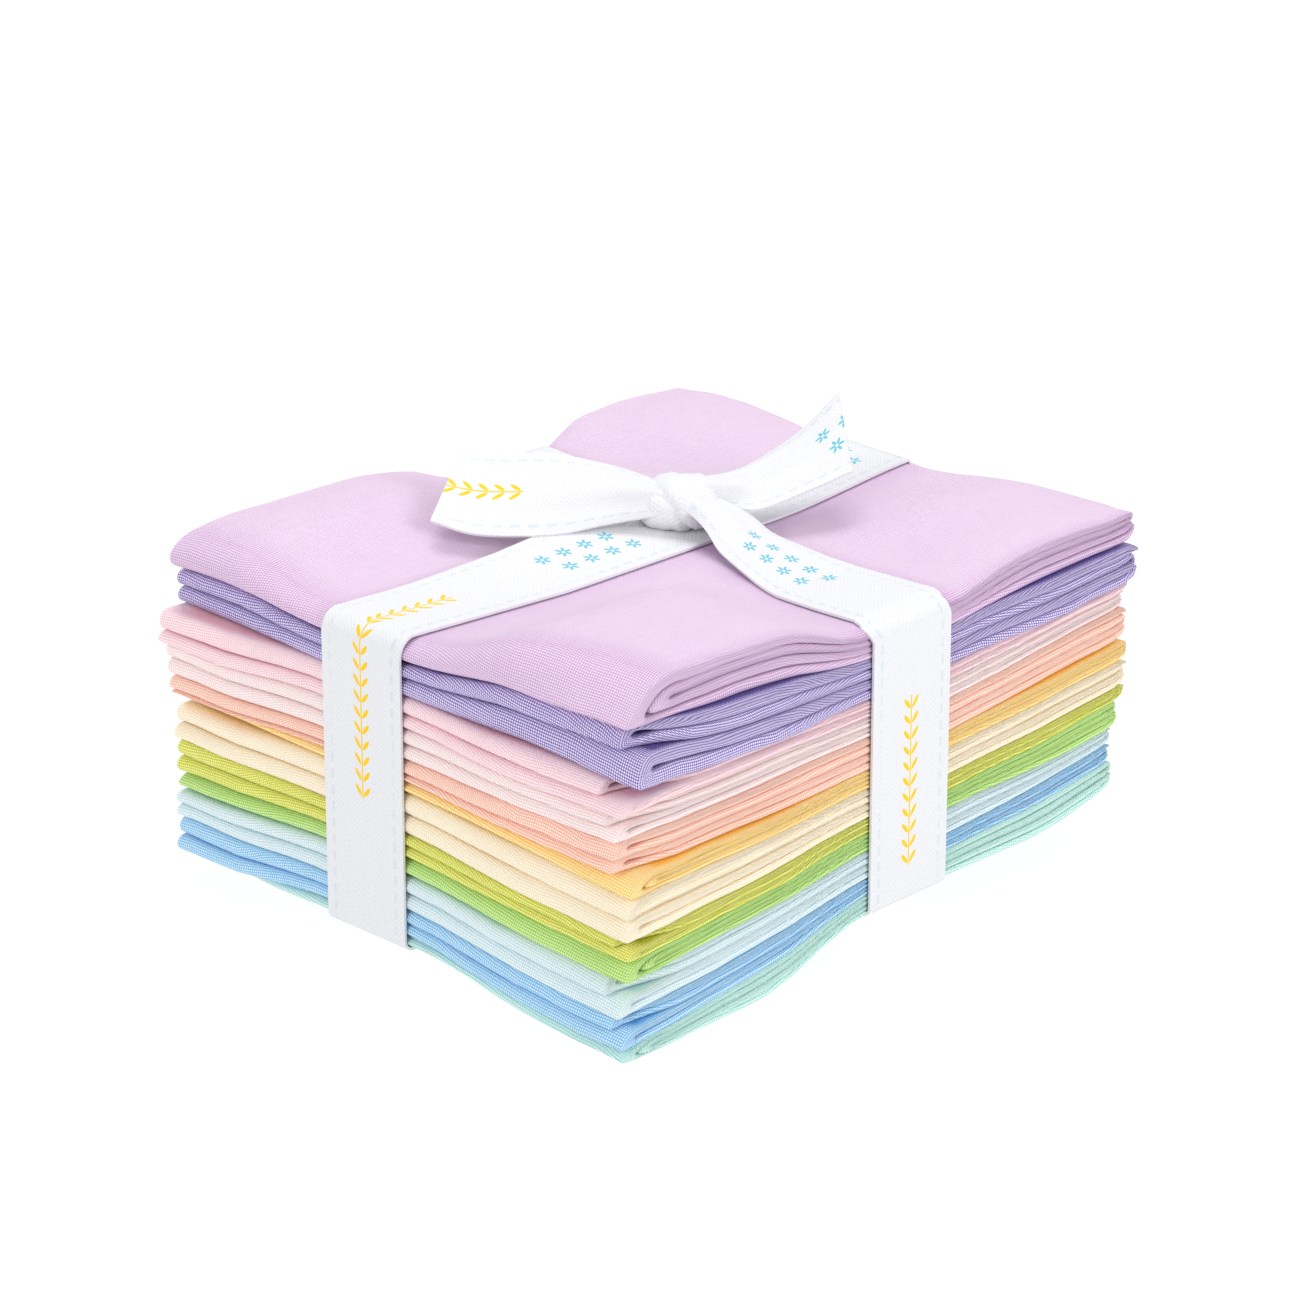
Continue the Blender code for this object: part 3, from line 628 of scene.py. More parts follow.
def closed_sheet(name, top, bottom, along, across, closed=False, painted_shades=None):
    """A thin closed mesh between two grids of points in mm, with its lengths as UVs in metres."""
    rows, columns = top.shape[:2]
    corners = np.concatenate((top.reshape(-1, 3), bottom.reshape(-1, 3))) * MM
    count = rows * columns
    i = np.arange(rows if closed else rows - 1)
    j = np.arange(columns - 1)
    first = i * columns
    first_next = (i + 1) % rows * columns
    last = first + columns - 1
    last_next = first_next + columns - 1
    a = (first[:, None] + j).ravel()
    b = (first_next[:, None] + j).ravel()
    upper = np.stack((a, b, b + 1, a + 1), axis=1)
    lower = upper[:, ::-1] + count
    sides = [
        np.stack((first_next, first, first + count, first_next + count), axis=1),
        np.stack((last, last_next, last_next + count, last + count), axis=1),
    ]
    if not closed:
        end = (rows - 1) * columns + j
        sides.append(np.stack((j, j + 1, j + 1 + count, j + count), axis=1))
        sides.append(np.stack((end + 1, end, end + count, end + 1 + count), axis=1))
    faces = np.concatenate([upper, lower] + sides)
    mesh = bpy.data.meshes.new(name)
    mesh.vertices.add(len(corners))
    mesh.vertices.foreach_set("co", (corners + np.array(PLAN_MIDDLE)).ravel())
    mesh.loops.add(faces.size)
    mesh.loops.foreach_set("vertex_index", faces.ravel())
    mesh.polygons.add(len(faces))
    mesh.polygons.foreach_set("loop_start", np.arange(len(faces)) * 4)
    mesh.update(calc_edges=True)
    mesh.polygons.foreach_set("use_smooth", np.ones(len(faces), bool))

    # A closed band goes on counting its length in the faces that close it
    if along.ndim == 1:
        along = along[:, None]
        across = across[None, :]
    lengths = np.stack(np.broadcast_arrays(along[:rows], across), axis=-1)
    flat = np.concatenate((lengths.reshape(-1, 2), lengths.reshape(-1, 2))) * MM
    uv = flat[faces.ravel()].reshape(-1, 4, 2)
    if closed:
        whole = float(along[rows, 0]) * MM
        wraps = (uv[:, :, 0].max(axis=1) - uv[:, :, 0].min(axis=1)) > whole / 2
        uv[wraps, :, 0] = np.where(uv[wraps, :, 0] == 0, whole, uv[wraps, :, 0])
    mesh.uv_layers.new(name=LENGTHS_LAYER).data.foreach_set("uv", uv.ravel())
    # The painted shade in the folds goes on the points of both faces
    if painted_shades is not None:
        inside = mesh.attributes.new(PAINTED_SHADE_LAYER, "FLOAT", "POINT")
        inside.data.foreach_set("value", np.concatenate([depth.ravel() for depth in painted_shades]))

    # The cut edges stay crisp
    rim = np.arange(len(faces)) >= 2 * len(upper)
    edge_of_loop = np.zeros(faces.size, int)
    mesh.loops.foreach_get("edge_index", edge_of_loop)
    rim_uses = np.bincount(edge_of_loop, weights=np.repeat(rim, 4), minlength=len(mesh.edges))
    sharp = mesh.attributes.new("sharp_edge", "BOOLEAN", "EDGE")
    sharp.data.foreach_set("value", rim_uses == 1)
    made = bpy.data.objects.new(name, mesh)
    bpy.context.collection.objects.link(made)
    return made


def linear(colour):
    """A colour as it shows on a screen, in the linear light that shaders work in."""
    return tuple(
        channel / 12.92 if channel <= 0.04045 else ((channel + 0.055) / 1.055) ** 2.4
        for channel in colour
    )


class Amount:
    """A shader value: arithmetic and comparison with it add the Math nodes they need."""

    def __init__(self, nodes, socket):
        self.nodes = nodes
        self.socket = socket

    def math(self, operation, *others):
        return self.nodes.math(operation, self, *others)

    def __rsub__(self, other):
        return self.nodes.math("SUBTRACT", other, self)

    __add__ = partialmethod(math, "ADD")
    __sub__ = partialmethod(math, "SUBTRACT")
    __mul__ = partialmethod(math, "MULTIPLY")
    __truediv__ = partialmethod(math, "DIVIDE")
    __mod__ = partialmethod(math, "FLOORED_MODULO")
    __abs__ = partialmethod(math, "ABSOLUTE")
    __lt__ = partialmethod(math, "LESS_THAN")
    __gt__ = partialmethod(math, "GREATER_THAN")
    at_least = partialmethod(math, "MAXIMUM")
    at_most = partialmethod(math, "MINIMUM")


class Nodes:
    """A small helper that adds a material's shader nodes and links them."""

    def __init__(self, material):
        self.tree = material.node_tree
        self.shader = self.tree.nodes["Principled BSDF"]

    def node(self, kind, **settings):
        made = self.tree.nodes.new(kind)
        for name, value in settings.items():
            setattr(made, name, value)
        return made

    def put(self, socket, value):
        if isinstance(value, Amount):
            value = value.socket
        if isinstance(value, bpy.types.NodeSocket):
            self.tree.links.new(value, socket)
        elif isinstance(value, tuple) and socket.type == "RGBA":
            socket.default_value = (*value, 1.0)
        else:
            socket.default_value = value

    def math(self, operation, *values):
        made = self.node("ShaderNodeMath", operation=operation)
        for socket, value in zip(made.inputs, values):
            self.put(socket, value)
        return Amount(self, made.outputs[0])

    def mix(self, factor, first, second):
        made = self.node("ShaderNodeMix", data_type="RGBA")
        self.put(made.inputs["Factor"], factor)
        self.put(made.inputs[6], first)
        self.put(made.inputs[7], second)
        return made.outputs[2]

    def lengths(self):
        """The place on the flat cloth in metres, as a vector, along it and across it."""
        place = self.node("ShaderNodeUVMap", uv_map=LENGTHS_LAYER).outputs["UV"]
        parts = self.node("ShaderNodeSeparateXYZ")
        self.put(parts.inputs[0], place)
        return place, Amount(self, parts.outputs[0]), Amount(self, parts.outputs[1])

    def noise(self, place, scale, detail):
        made = self.node("ShaderNodeTexNoise")
        self.put(made.inputs["Vector"], place)
        self.put(made.inputs["Scale"], scale)
        self.put(made.inputs["Detail"], detail)
        return Amount(self, made.outputs["Fac"])

    def streaks(self, place, stretch):
        """The uneven thickness of yarns, drawn out one way by the stretch."""
        made = self.node("ShaderNodeMapping")
        self.put(made.inputs["Vector"], place)
        self.put(made.inputs["Scale"], stretch)
        return self.noise(made.outputs[0], YARN_SCALE, 1.0)

    def bump(self, height, strength, distance, normal=None):
        made = self.node("ShaderNodeBump")
        self.put(made.inputs["Strength"], strength)
        self.put(made.inputs["Distance"], distance)
        self.put(made.inputs["Height"], height)
        if normal is not None:
            self.put(made.inputs["Normal"], normal)
        return made.outputs["Normal"]


SPECULAR = 0.25
SHEEN_ROUGHNESS = 0.5


def new_material(name, roughness, sheen):
    material = bpy.data.materials.new(name)
    material.use_nodes = True
    nodes = Nodes(material)
    nodes.shader.inputs["Roughness"].default_value = roughness
    nodes.shader.inputs["Specular IOR Level"].default_value = SPECULAR
    nodes.shader.inputs["Sheen Weight"].default_value = sheen
    nodes.shader.inputs["Sheen Roughness"].default_value = SHEEN_ROUGHNESS
    return material, nodes


# The weave: the threads' pitch and stray in metres, and how much the over thread stands up
THREAD_PITCH = 0.00050
THREAD_STRAY = 0.0009
THREAD_STRAY_SCALE = 90.0
THREAD_OVER = 0.15
YARN_SCALE = 2200.0
YARN_STREAK = 0.06
CLOUD_SCALE = 60.0
CREASE_SCALE = 140.0

# How much painted shade the gaps between threads and the folds add, how much the uneven yarns and
# the clouds darken the colour, and how much less the gaps' painted shade counts on the flat top
SHADE_START = -0.84
GAP_SHADE = 1.9
GAP_SHADE_LESS = 0.75
FLAT_SHADE = 0.26
YARN_SHADE = 0.22
CLOUD_SHADE = 0.10
FOLD_SHADE = 0.9
INMOST_SHADE = 0.9
SHADOW_POWER = 1.3

# Roughness and sheen, and the strength and depth in metres of the bumps
COTTON_LOOK = (0.9, 0.12)
THREAD_BUMP = (0.75, 0.00014)
CREASE_BUMP = (0.35, 0.0006)


def woven_cotton(name, lit, deep):
    """Plain weave, threads over and under, uneven yarn; painted shade in its gaps and in the folds."""
    material, nodes = new_material(name, *COTTON_LOOK)
    place, along, across = nodes.lengths()
    bend = (nodes.noise(place, THREAD_STRAY_SCALE, 1.0) - 0.5) * THREAD_STRAY
    warp = ((along + bend) * (math.pi / THREAD_PITCH)).math("SINE")
    weft = ((across - bend) * (math.pi / THREAD_PITCH)).math("SINE")
    crossing = warp * weft
    over = crossing * 0.5 + 0.5
    height = over * THREAD_OVER + abs(crossing) * (1 - THREAD_OVER)
    yarn = nodes.streaks(place, (YARN_STREAK, 1.0, 1.0)) + nodes.streaks(place, (1.0, YARN_STREAK, 1.0))
    cloudy = nodes.noise(place, CLOUD_SCALE, 2.0)
    # The painted shade: above 0 in the folds and beside the tapes, below 0 on the flat top
    depth = Amount(nodes, nodes.node("ShaderNodeAttribute", attribute_name=PAINTED_SHADE_LAYER).outputs["Fac"])
    flatness = (depth * -1.0).at_least(0.0)
    depth = depth.at_least(0.0)
    # The gaps between threads get painted shade, less on the flat top; the yarns and clouds vary the tone at
    # random
    shade = (1.0 - height) * (GAP_SHADE - flatness * GAP_SHADE_LESS) + SHADE_START
    shade = shade + flatness * FLAT_SHADE + yarn * YARN_SHADE + (cloudy - 0.5) * CLOUD_SHADE
    shade = (shade + depth * FOLD_SHADE).at_most(1.0).at_least(0.0)
    colour = nodes.mix(shade, linear(lit), linear(deep))
    # Painted shadow far inside the folds, in a darker, richer copy of the shade colour
    shadow = tuple(channel ** SHADOW_POWER for channel in linear(deep))
    colour = nodes.mix(depth * depth * INMOST_SHADE, colour, shadow)
    nodes.put(nodes.shader.inputs["Base Color"], colour)
    fine = nodes.bump(height, *THREAD_BUMP)
    soft = nodes.bump(nodes.noise(place, CREASE_SCALE, 3.0), *CREASE_BUMP, fine)
    nodes.put(nodes.shader.inputs["Normal"], soft)
    return material


# Rows and columns of a sheet's grid along each strip and ply
SHEET_GRID = (24, 22)
TOP_SHEET_GRID = (44, 40)


def make_cloths():
    for index, cloth in enumerate(CLOTHS):
        along_strip, along_ply = TOP_SHEET_GRID if index == TOP_CLOTH else SHEET_GRID
        rows = strip_path(cloth.folding, along_strip)
        columns = ply_path(along_ply)
        top, top_painted_shade = cloth_points(index, rows, columns, 1)
        bottom, bottom_painted_shade = cloth_points(index, rows, columns, -1)
        along = surface_lengths(top, bottom, 0)
        across = surface_lengths(top, bottom, 1)
        sheet = closed_sheet(cloth.name + "_fat_quarter", top, bottom, along, across,
                             painted_shades=(top_painted_shade, bottom_painted_shade))
        sheet.data.materials.append(woven_cotton(cloth.name + "_weave", cloth.lit, cloth.deep))
        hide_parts(cloth.name + "_cloth")
        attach(sheet, "root")


# The tape's colours, its grey being painted shade where its weave lies low, and the inks of its small print
TAPE_WHITE = (0.915, 0.915, 0.925)
TAPE_SHADE_GREY = (0.74, 0.77, 0.82)
TAPE_LINE = (0.70, 0.80, 0.86)
YELLOW_INK = (0.97, 0.80, 0.0)
BLUE_INK = (0.42, 0.76, 0.84)

# The tape's weave in metres: the herringbone's bands, slant and twill, and its yarns
HERRINGBONE_BAND = 0.0025
HERRINGBONE_SLANT = 1.1
TWILL_PITCH = 0.0010
TAPE_YARN_PITCH = 0.0006
TAPE_NOISE_SCALE = 1400.0
TWILL_HEIGHT = 0.35
TAPE_YARN_HEIGHT = 0.15
TAPE_UNEVEN_HEIGHT = 0.6
TAPE_SHADE_START = 0.12
TAPE_HEIGHT_LIGHTENS = -0.20
TAPE_LOOK = (0.8, 0.08)
TAPE_BUMP = (0.5, 0.00016)

# The dashed lines beside the tape's edges, in metres from its middle, and how they fade
DASH_OUT = 0.0079
DASH_HALF_WIDTH = 0.0005
DASH_PITCH = 0.0032
DASH_GAP = 0.0013
DASH_FADES = 1.2
DASH_FADE_START = -0.25
DASH_FADE_SCALE = 55.0
DASH_STRONGEST = 0.36

# The printed branch: its leaves' pitch, place, slant and halves, and its stem, in metres
LEAF_PITCH = 0.0030
LEAF_OUT = 0.00105
LEAF_SLANT = math.radians(38)
LEAF_HALF_LENGTH = 0.00125
LEAF_HALF_WIDTH = 0.00040
STEM_HALF_WIDTH = 0.00017

# The printed flowers: their pitch and place, their petals' wave and mean reach, and their eye
FLOWER_PITCH = 0.0052
FLOWER_OUT = 0.0024
PETALS = 6.0
PETAL_WAVE = 0.00055
PETAL_REACH = 0.00115
FLOWER_EYE = 0.00038

# The ink is worn with the tape's unevenness
INK_LEAST = 0.78
INK_UNEVEN = 0.5


def leaf_branch(along, across):
    """A straight stem with pairs of slanted leaves, as a mask, and each pair's place."""
    local = along % LEAF_PITCH - LEAF_PITCH / 2
    beside = abs(across) - LEAF_OUT
    long_way = (local * math.cos(LEAF_SLANT) + beside * math.sin(LEAF_SLANT)) / LEAF_HALF_LENGTH
    short_way = (beside * math.cos(LEAF_SLANT) - local * math.sin(LEAF_SLANT)) / LEAF_HALF_WIDTH
    leaf = long_way * long_way + short_way * short_way < 1.0
    return leaf.at_least(abs(across) < STEM_HALF_WIDTH), along - local


def flower_rows(along, across):
    """Two staggered rows of small six-petalled flowers, as a mask, and each flower's place."""
    shifted = along + (across > 0.0) * (FLOWER_PITCH / 2)
    local = shifted % FLOWER_PITCH - FLOWER_PITCH / 2
    beside = abs(across) - FLOWER_OUT
    from_middle = (local * local + beside * beside).math("SQRT")
    angle = beside.math("ARCTAN2", local)
    petals = (angle * PETALS).math("COSINE") * PETAL_WAVE + PETAL_REACH
    return (from_middle < petals) * (from_middle > FLOWER_EYE), along - local


def woven_tape(name, prints=()):
    """White herringbone tape with pale dashed lines beside its edges and a small print.

    Its low places get painted shade.
    """
    material, nodes = new_material(name, *TAPE_LOOK)
    place, along, across = nodes.lengths()
    zone = across.math("PINGPONG", HERRINGBONE_BAND)
    twill = ((along + zone * HERRINGBONE_SLANT) * (2 * math.pi / TWILL_PITCH)).math("SINE")
    yarns = (across * (2 * math.pi / TAPE_YARN_PITCH)).math("SINE")
    uneven = nodes.noise(place, TAPE_NOISE_SCALE, 2.0)
    height = twill * TWILL_HEIGHT + yarns * TAPE_YARN_HEIGHT + (uneven - 0.5) * TAPE_UNEVEN_HEIGHT
    line = 1.0 - (abs(abs(across) - DASH_OUT) / DASH_HALF_WIDTH).at_most(1.0)
    dashes = along % DASH_PITCH > DASH_GAP
    fading = nodes.noise(place, DASH_FADE_SCALE, 1.0) * DASH_FADES + DASH_FADE_START
    faint = (line * dashes * fading).at_most(DASH_STRONGEST).at_least(0.0)
    # Painted shade: the tape is greyer where its weave lies low
    shade = (height * TAPE_HEIGHT_LIGHTENS + TAPE_SHADE_START).at_most(1.0).at_least(0.0)
    colour = nodes.mix(shade, linear(TAPE_WHITE), linear(TAPE_SHADE_GREY))
    colour = nodes.mix(faint, colour, linear(TAPE_LINE))
    for printed in prints:
        mask, motif_place = printed.motif(along, across)
        inside = (motif_place > printed.start * MM) * (motif_place < printed.end * MM)
        ink = (mask * inside * (uneven * INK_UNEVEN + INK_LEAST)).at_most(1.0)
        colour = nodes.mix(ink, colour, linear(printed.ink))
    nodes.put(nodes.shader.inputs["Base Color"], colour)
    nodes.put(nodes.shader.inputs["Normal"], nodes.bump(height, *TAPE_BUMP))
    return material


# Lengths of each piece of tape on which a print shows, in mm along it
Print = namedtuple("Print", "motif start end ink")
LONG_TAPE_PRINTS = (
    Print(leaf_branch, 342, 400, YELLOW_INK),
    Print(leaf_branch, -1, 18, YELLOW_INK),
    Print(flower_rows, 40, 62, BLUE_INK),
    Print(flower_rows, 113, 121, BLUE_INK),
)
SHORT_TAPE_PRINTS = (
    Print(leaf_branch, 289, 322, YELLOW_INK),
    Print(flower_rows, 19, 42, BLUE_INK),
)
LEFT_TAIL_PRINTS = (Print(leaf_branch, 27, 42, YELLOW_INK),)
RIGHT_TAIL_PRINTS = (Print(flower_rows, 24, 36, BLUE_INK),)

# The grids of the tape's pieces
TAPE_ACROSS = 17
TOP_STATIONS = 70
SIDE_STATIONS = 16
BASE_STATIONS = 40
TOP_TURN_STEPS = 8
BASE_TURN_STEPS = 6
TAIL_ROWS = 60

# The loops' lift off the cloth, their corners' radii, and how far out the top's height is read
TAPE_LIFT = TAPE_CLEARANCE + TAPE_THICKNESS / 2
LONG_CORNER = 3.6
SHORT_CORNER = 2.4
LONG_READ = 64
SHORT_READ = 55

# The long tape's outer edge rises beside the knot, by place along u
LONG_RISE_PLACES = (-46, -14, -2, 12, 24)
LONG_RISES = (0, 2.2, 2.8, 0.6, 0)
LONG_RISE_ROUNDING = 4
LONG_RISE_POWER = 1.5

# The short tape on top, by place along v: half its width, which the knot draws narrow, how far
# its middle strays along u, and how far it rises into the knot
SHORT_HALF_PLACES = (-42, -30, -20, -8, 0, 12, 22, 40)
SHORT_HALVES = (10.4, 10.0, 8.2, 6.0, 3.4, 3.4, 7.5, 10.0)
SHORT_MIDDLE_PLACES = (-46, -34, -20, -8, 2, 12, 30)
SHORT_MIDDLES = (-0.8, -0.6, 0.4, 1.4, 0.2, -0.5, 0)
SHORT_RISE_PLACES = (-26, -12, -3, 4, 12, 26)
SHORT_RISES = (0, 1.2, 4.2, 4.8, 4.0, 0)
SHORT_ROUNDING = 2

# Where it is narrow it is arched, with small pleats; it passes over the other tape's thickness
ARCH = 3.2
ARCH_PLEAT = 0.5
ARCH_PLEATS = 9
CROSSING_LIFT = TAPE_THICKNESS + 0.4
CROSSING_HALF = 11.5
CROSSING_REACH = 5


def short_tape_half(v):
    """Half the width of the short tape on top, where it is drawn narrow into the knot."""
    return rounded_lines(v, SHORT_HALF_PLACES, SHORT_HALVES, SHORT_ROUNDING)


def short_tape_middle(v):
    """How far the short tape's middle strays along u on top."""
    return rounded_lines(v, SHORT_MIDDLE_PLACES, SHORT_MIDDLES, SHORT_ROUNDING)


def loop_outline(half_span, top_at, base_at, corner):
    """Stations round a loop of tape, clockwise from the near end of its top: place and height.

    The last column says how much a station belongs to the top."""
    low_corner = corner / 2
    stations = []

    def turn(quarter, side, radius, centre_height, turn_steps):
        for step in range(1, turn_steps):
            angle = math.pi / 2 * (quarter + step / turn_steps)
            stations.append((side * (half_span - radius) + radius * math.sin(angle),
                             centre_height + radius * math.cos(angle), max(math.cos(angle), 0.0)))

    def climb(side, start, end):
        stations.extend((side * half_span, height, 0.0) for height in np.linspace(start, end, SIDE_STATIONS))

    top_near = top_at(-half_span) - corner
    top_far = top_at(half_span) - corner
    base_near = base_at(-half_span) + low_corner
    base_far = base_at(half_span) + low_corner
    for s in np.linspace(-half_span + corner, half_span - corner, TOP_STATIONS):
        stations.append((s, top_at(s), 1.0))
    turn(0, 1, corner, top_far, TOP_TURN_STEPS)
    climb(1, top_far, base_far)
    turn(1, 1, low_corner, base_far, BASE_TURN_STEPS)
    for s in np.linspace(half_span - low_corner, -half_span + low_corner, BASE_STATIONS):
        stations.append((s, base_at(s), 0.0))
    turn(2, -1, low_corner, base_near, BASE_TURN_STEPS)
    climb(-1, base_near, top_near)
    turn(3, -1, corner, top_near, TOP_TURN_STEPS)
    return np.array(stations)


def tape_sheet(name, points, normals, along, across, closed=False):
    """A piece of tape, as thick as it is, about its middle surface."""
    half = normals * TAPE_THICKNESS / 2
    return closed_sheet(name, points + half, points - half, along, across, closed)


def band_normals(points):
    """Outward directions of a closed grid of points, rows along it and columns across it."""
    ahead = np.roll(points, -1, axis=0) - np.roll(points, 1, axis=0)
    across = np.gradient(points, axis=1)
    normal = np.cross(ahead, across)
    return normal / np.linalg.norm(normal, axis=-1, keepdims=True)


def long_tape_points():
    """The loop along the long side: its rows of points on the tape's middle surface."""
    outline = loop_outline(
        HALF_LENGTH - SIDE_PINCH + TAPE_LIFT,
        lambda u: float(top_height(np.clip(u, -LONG_READ, LONG_READ), LONG_TAPE_V)) + TAPE_LIFT,
        lambda u: float(base_height(u, LONG_TAPE_V)) - TAPE_LIFT,
        LONG_CORNER,
    )
    across = np.linspace(-TAPE_WIDTH / 2, TAPE_WIDTH / 2, TAPE_ACROSS)
    u, out = np.meshgrid(outline[:, 0], across, indexing="ij")
    v = LONG_TAPE_V + out
    z = outline[:, 1][:, None]
    on_top = outline[:, 2][:, None]
    z = np.where(on_top >= 1, np.maximum(z, top_height(u, v) + TAPE_LIFT), z)
    to_outer = np.clip(0.5 + out / TAPE_WIDTH, 0, 1) ** LONG_RISE_POWER
    rise = rounded_lines(u, LONG_RISE_PLACES, LONG_RISES, LONG_RISE_ROUNDING)
    x, y = plan_point(u, v)
    return np.stack((x, y, z + on_top * to_outer * rise), axis=-1), across


def short_tape_points():
    """The loop along the short side, drawn narrow and up where it goes into the knot."""

    def crossing(v):
        return CROSSING_LIFT * float(smooth_fall(v - LONG_TAPE_V, CROSSING_HALF, CROSSING_REACH))

    def top_at(v):
        return float(top_height(SHORT_TAPE_U, np.clip(v, -SHORT_READ, SHORT_READ))) + TAPE_LIFT + crossing(v)

    def base_at(v):
        return float(base_height(SHORT_TAPE_U, v)) - TAPE_LIFT - crossing(v)

    outline = loop_outline(HALF_WIDTH - SIDE_PINCH + TAPE_LIFT, top_at, base_at, SHORT_CORNER)
    v, share = np.meshgrid(outline[:, 0], np.linspace(-1, 1, TAPE_ACROSS), indexing="ij")
    on_top = outline[:, 2][:, None]
    half = short_tape_half(v) * on_top + TAPE_WIDTH / 2 * (1 - on_top)
    u = SHORT_TAPE_U + short_tape_middle(v) * on_top + share * half
    z = outline[:, 1][:, None]
    z = np.where(on_top >= 1, np.maximum(z, top_height(u, v) + TAPE_LIFT), z)
    narrow = np.clip(1 - half / (TAPE_WIDTH / 2), 0, 1)
    rise = rounded_lines(v, SHORT_RISE_PLACES, SHORT_RISES, SHORT_ROUNDING)
    arch = narrow * (ARCH * (1 - share ** 2) + ARCH_PLEAT * np.cos(ARCH_PLEATS * share))
    x, y = plan_point(u, v)
    return np.stack((x, y, z + on_top * (rise + arch)), axis=-1), share[0] * TAPE_WIDTH / 2


def make_band(name, node, points, across, prints):
    """A closed loop of tape round its middle surface."""
    middle = points[:, TAPE_ACROSS // 2]
    along = path_lengths(np.concatenate((middle, middle[:1])))
    band = tape_sheet(name, points, band_normals(points), along, across, closed=True)
    band.data.materials.append(woven_tape(name + "_weave", prints))
    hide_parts(node)
    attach(band, "root")


# The free tails from the knot to the cut end: both edges' places, and how far the tape bows
TailSection = namedtuple("TailSection", "near_x near_y near_z far_x far_y far_z bow")
LEFT_TAIL = (
    TailSection(6.4, 1.2, 64.9, 9.8, 6.4, 68.6, 1.6),
    TailSection(1.4, 6.2, 64.0, 6.6, 12.4, 70.5, 2.0),
    TailSection(-4.0, 9.6, 63.4, 3.2, 17.6, 71.8, 1.5),
    TailSection(-12.4, 14.2, 62.7, -1.5, 24.1, 73.0, 0.9),
    TailSection(-23.7, 21.4, 64.0, -8.6, 32.7, 72.9, 0.4),
    TailSection(-29.8, 27.6, 66.8, -12.4, 37.2, 73.6, -0.3),
)
RIGHT_TAIL = (
    TailSection(12.0, -0.4, 65.4, 15.4, 3.4, 69.4, 2.4),
    TailSection(15.6, -4.2, 65.0, 20.0, 1.2, 69.6, 2.2),
    TailSection(19.2, -8.6, 65.0, 27.0, 1.2, 69.6, 1.4),
    TailSection(27.0, -13.0, 67.6, 37.0, -1.6, 73.8, 0.9),
    TailSection(34.9, -16.8, 70.4, 45.0, -4.2, 80.2, 0.3),
)
TAIL_RIPPLE = 0.175
TAIL_RIPPLE_TURNS = 4.5
TAIL_RIPPLE_BOW = 3
LEFT_TAIL_PHASE = 1.0
RIGHT_TAIL_PHASE = 2.0


def smooth_through(rows, count):
    """A smooth cubic curve through rows of numbers, sampled evenly between them."""
    rows = np.array(rows, float)
    padded = np.concatenate((2 * rows[:1] - rows[1:2], rows, 2 * rows[-1:] - rows[-2:-1]))
    samples = []
    for spot in np.linspace(0, len(rows) - 1 - TINY, count):
        i = int(spot)
        t = spot - i
        before, a, b, after = padded[i:i + 4]
        samples.append(0.5 * (
            2 * a + (b - before) * t + (2 * before - 5 * a + 4 * b - after) * t * t
            + (3 * a - before - 3 * b + after) * t ** 3
        ))
    return np.array(samples)


def make_tail(name, sections, phase, prints):
    """A free tail of tape through its sections, bowed and a little rippled across."""
    samples = smooth_through(sections, TAIL_ROWS)
    near = samples[:, 0:3]
    far = samples[:, 3:6]
    bow = samples[:, 6][:, None]
    share = np.linspace(0, 1, TAPE_ACROSS)
    points = near[:, None, :] * (1 - share[:, None]) + far[:, None, :] * share[:, None]
    normal = np.cross(far - near, np.gradient((near + far) / 2, axis=0))
    normal = normal / np.linalg.norm(normal, axis=1, keepdims=True)
    normal = (normal * np.sign(normal[:, 2:3] + TINY))[:, None, :]
    ripple = np.clip(bow, 0, TAIL_RIPPLE_BOW) * np.sin(TAIL_RIPPLE_TURNS * math.pi * share + phase)
    bowed = np.sin(math.pi * share) * bow + TAIL_RIPPLE * ripple
    points = points + normal * bowed[:, :, None]
    along = path_lengths((near + far) / 2)
    piece = tape_sheet(name + "_ribbon", points, normal, along, (share - 0.5) * TAPE_WIDTH)
    piece.data.materials.append(woven_tape(name + "_weave", prints))
    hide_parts(name)
    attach(piece, "root")


# The knot's own directions, and its body's size in mm and how square its ends are
KNOT_AXIS = np.array((0.692, -0.722, 0.0))
KNOT_ACROSS = np.array((0.722, 0.692, 0.0))
KNOT_UP = np.array((0.0, 0.0, 1.0))
KNOT_CENTRE_HEIGHT = 65.0
KNOT_HALF = 8.8
KNOT_HIGH = 4.4
KNOT_WIDE = 6.2
KNOT_SQUARE = 3.2

# The core: its grid, its half length, its end's size, its slow waves and where it is fuller
CORE_GRID = (49, 72)
CORE_HALF = 7.5
CORE_END = 0.02
CORE_LENGTH_ROUND = 5.5
CORE_WAVE = (0.05, 2, 1.2)
CORE_TWIST = (0.03, 3, 4)
CORE_FULLER = 0.04
FULLER_PLACE = -0.30
FULLER_REACH = 0.42
FULLER_ANGLE = 0.35
CREASE_ANGLE = 0.6
Crease = namedtuple("Crease", "place tilt depth width")
CREASES = (
    Crease(-0.62, 0.22, 0.07, 0.08),
    Crease(-0.22, 0.34, 0.14, 0.09),
    Crease(0.62, 0.10, 0.16, 0.09),
)

# The band that wraps the knot, from its low near end over the top to the back: the turn from
# the near side in degrees, then in mm its middle along the knot's axis, its width and its lift
WrapSection = namedtuple("WrapSection", "turn middle width lift")
WRAP = (
    WrapSection(-52, 0.6, 15.4, 0.4),
    WrapSection(-30, 0.6, 15.4, 0.6),
    WrapSection(0, 0.5, 15.0, 0.7),
    WrapSection(35, 0.5, 14.6, 0.8),
    WrapSection(75, 0.6, 14.0, 0.8),
    WrapSection(120, 0.8, 13.4, 0.7),
    WrapSection(180, 0.4, 12.4, 0.5),
    WrapSection(215, 0.2, 11.4, 0.3),
)
WRAP_ROWS = 80
WRAP_ACROSS = 41
WRAP_ROLL = math.radians(128)
WRAP_ROLL_DEPTH = 1.6
WRAP_BODY_END = 0.35

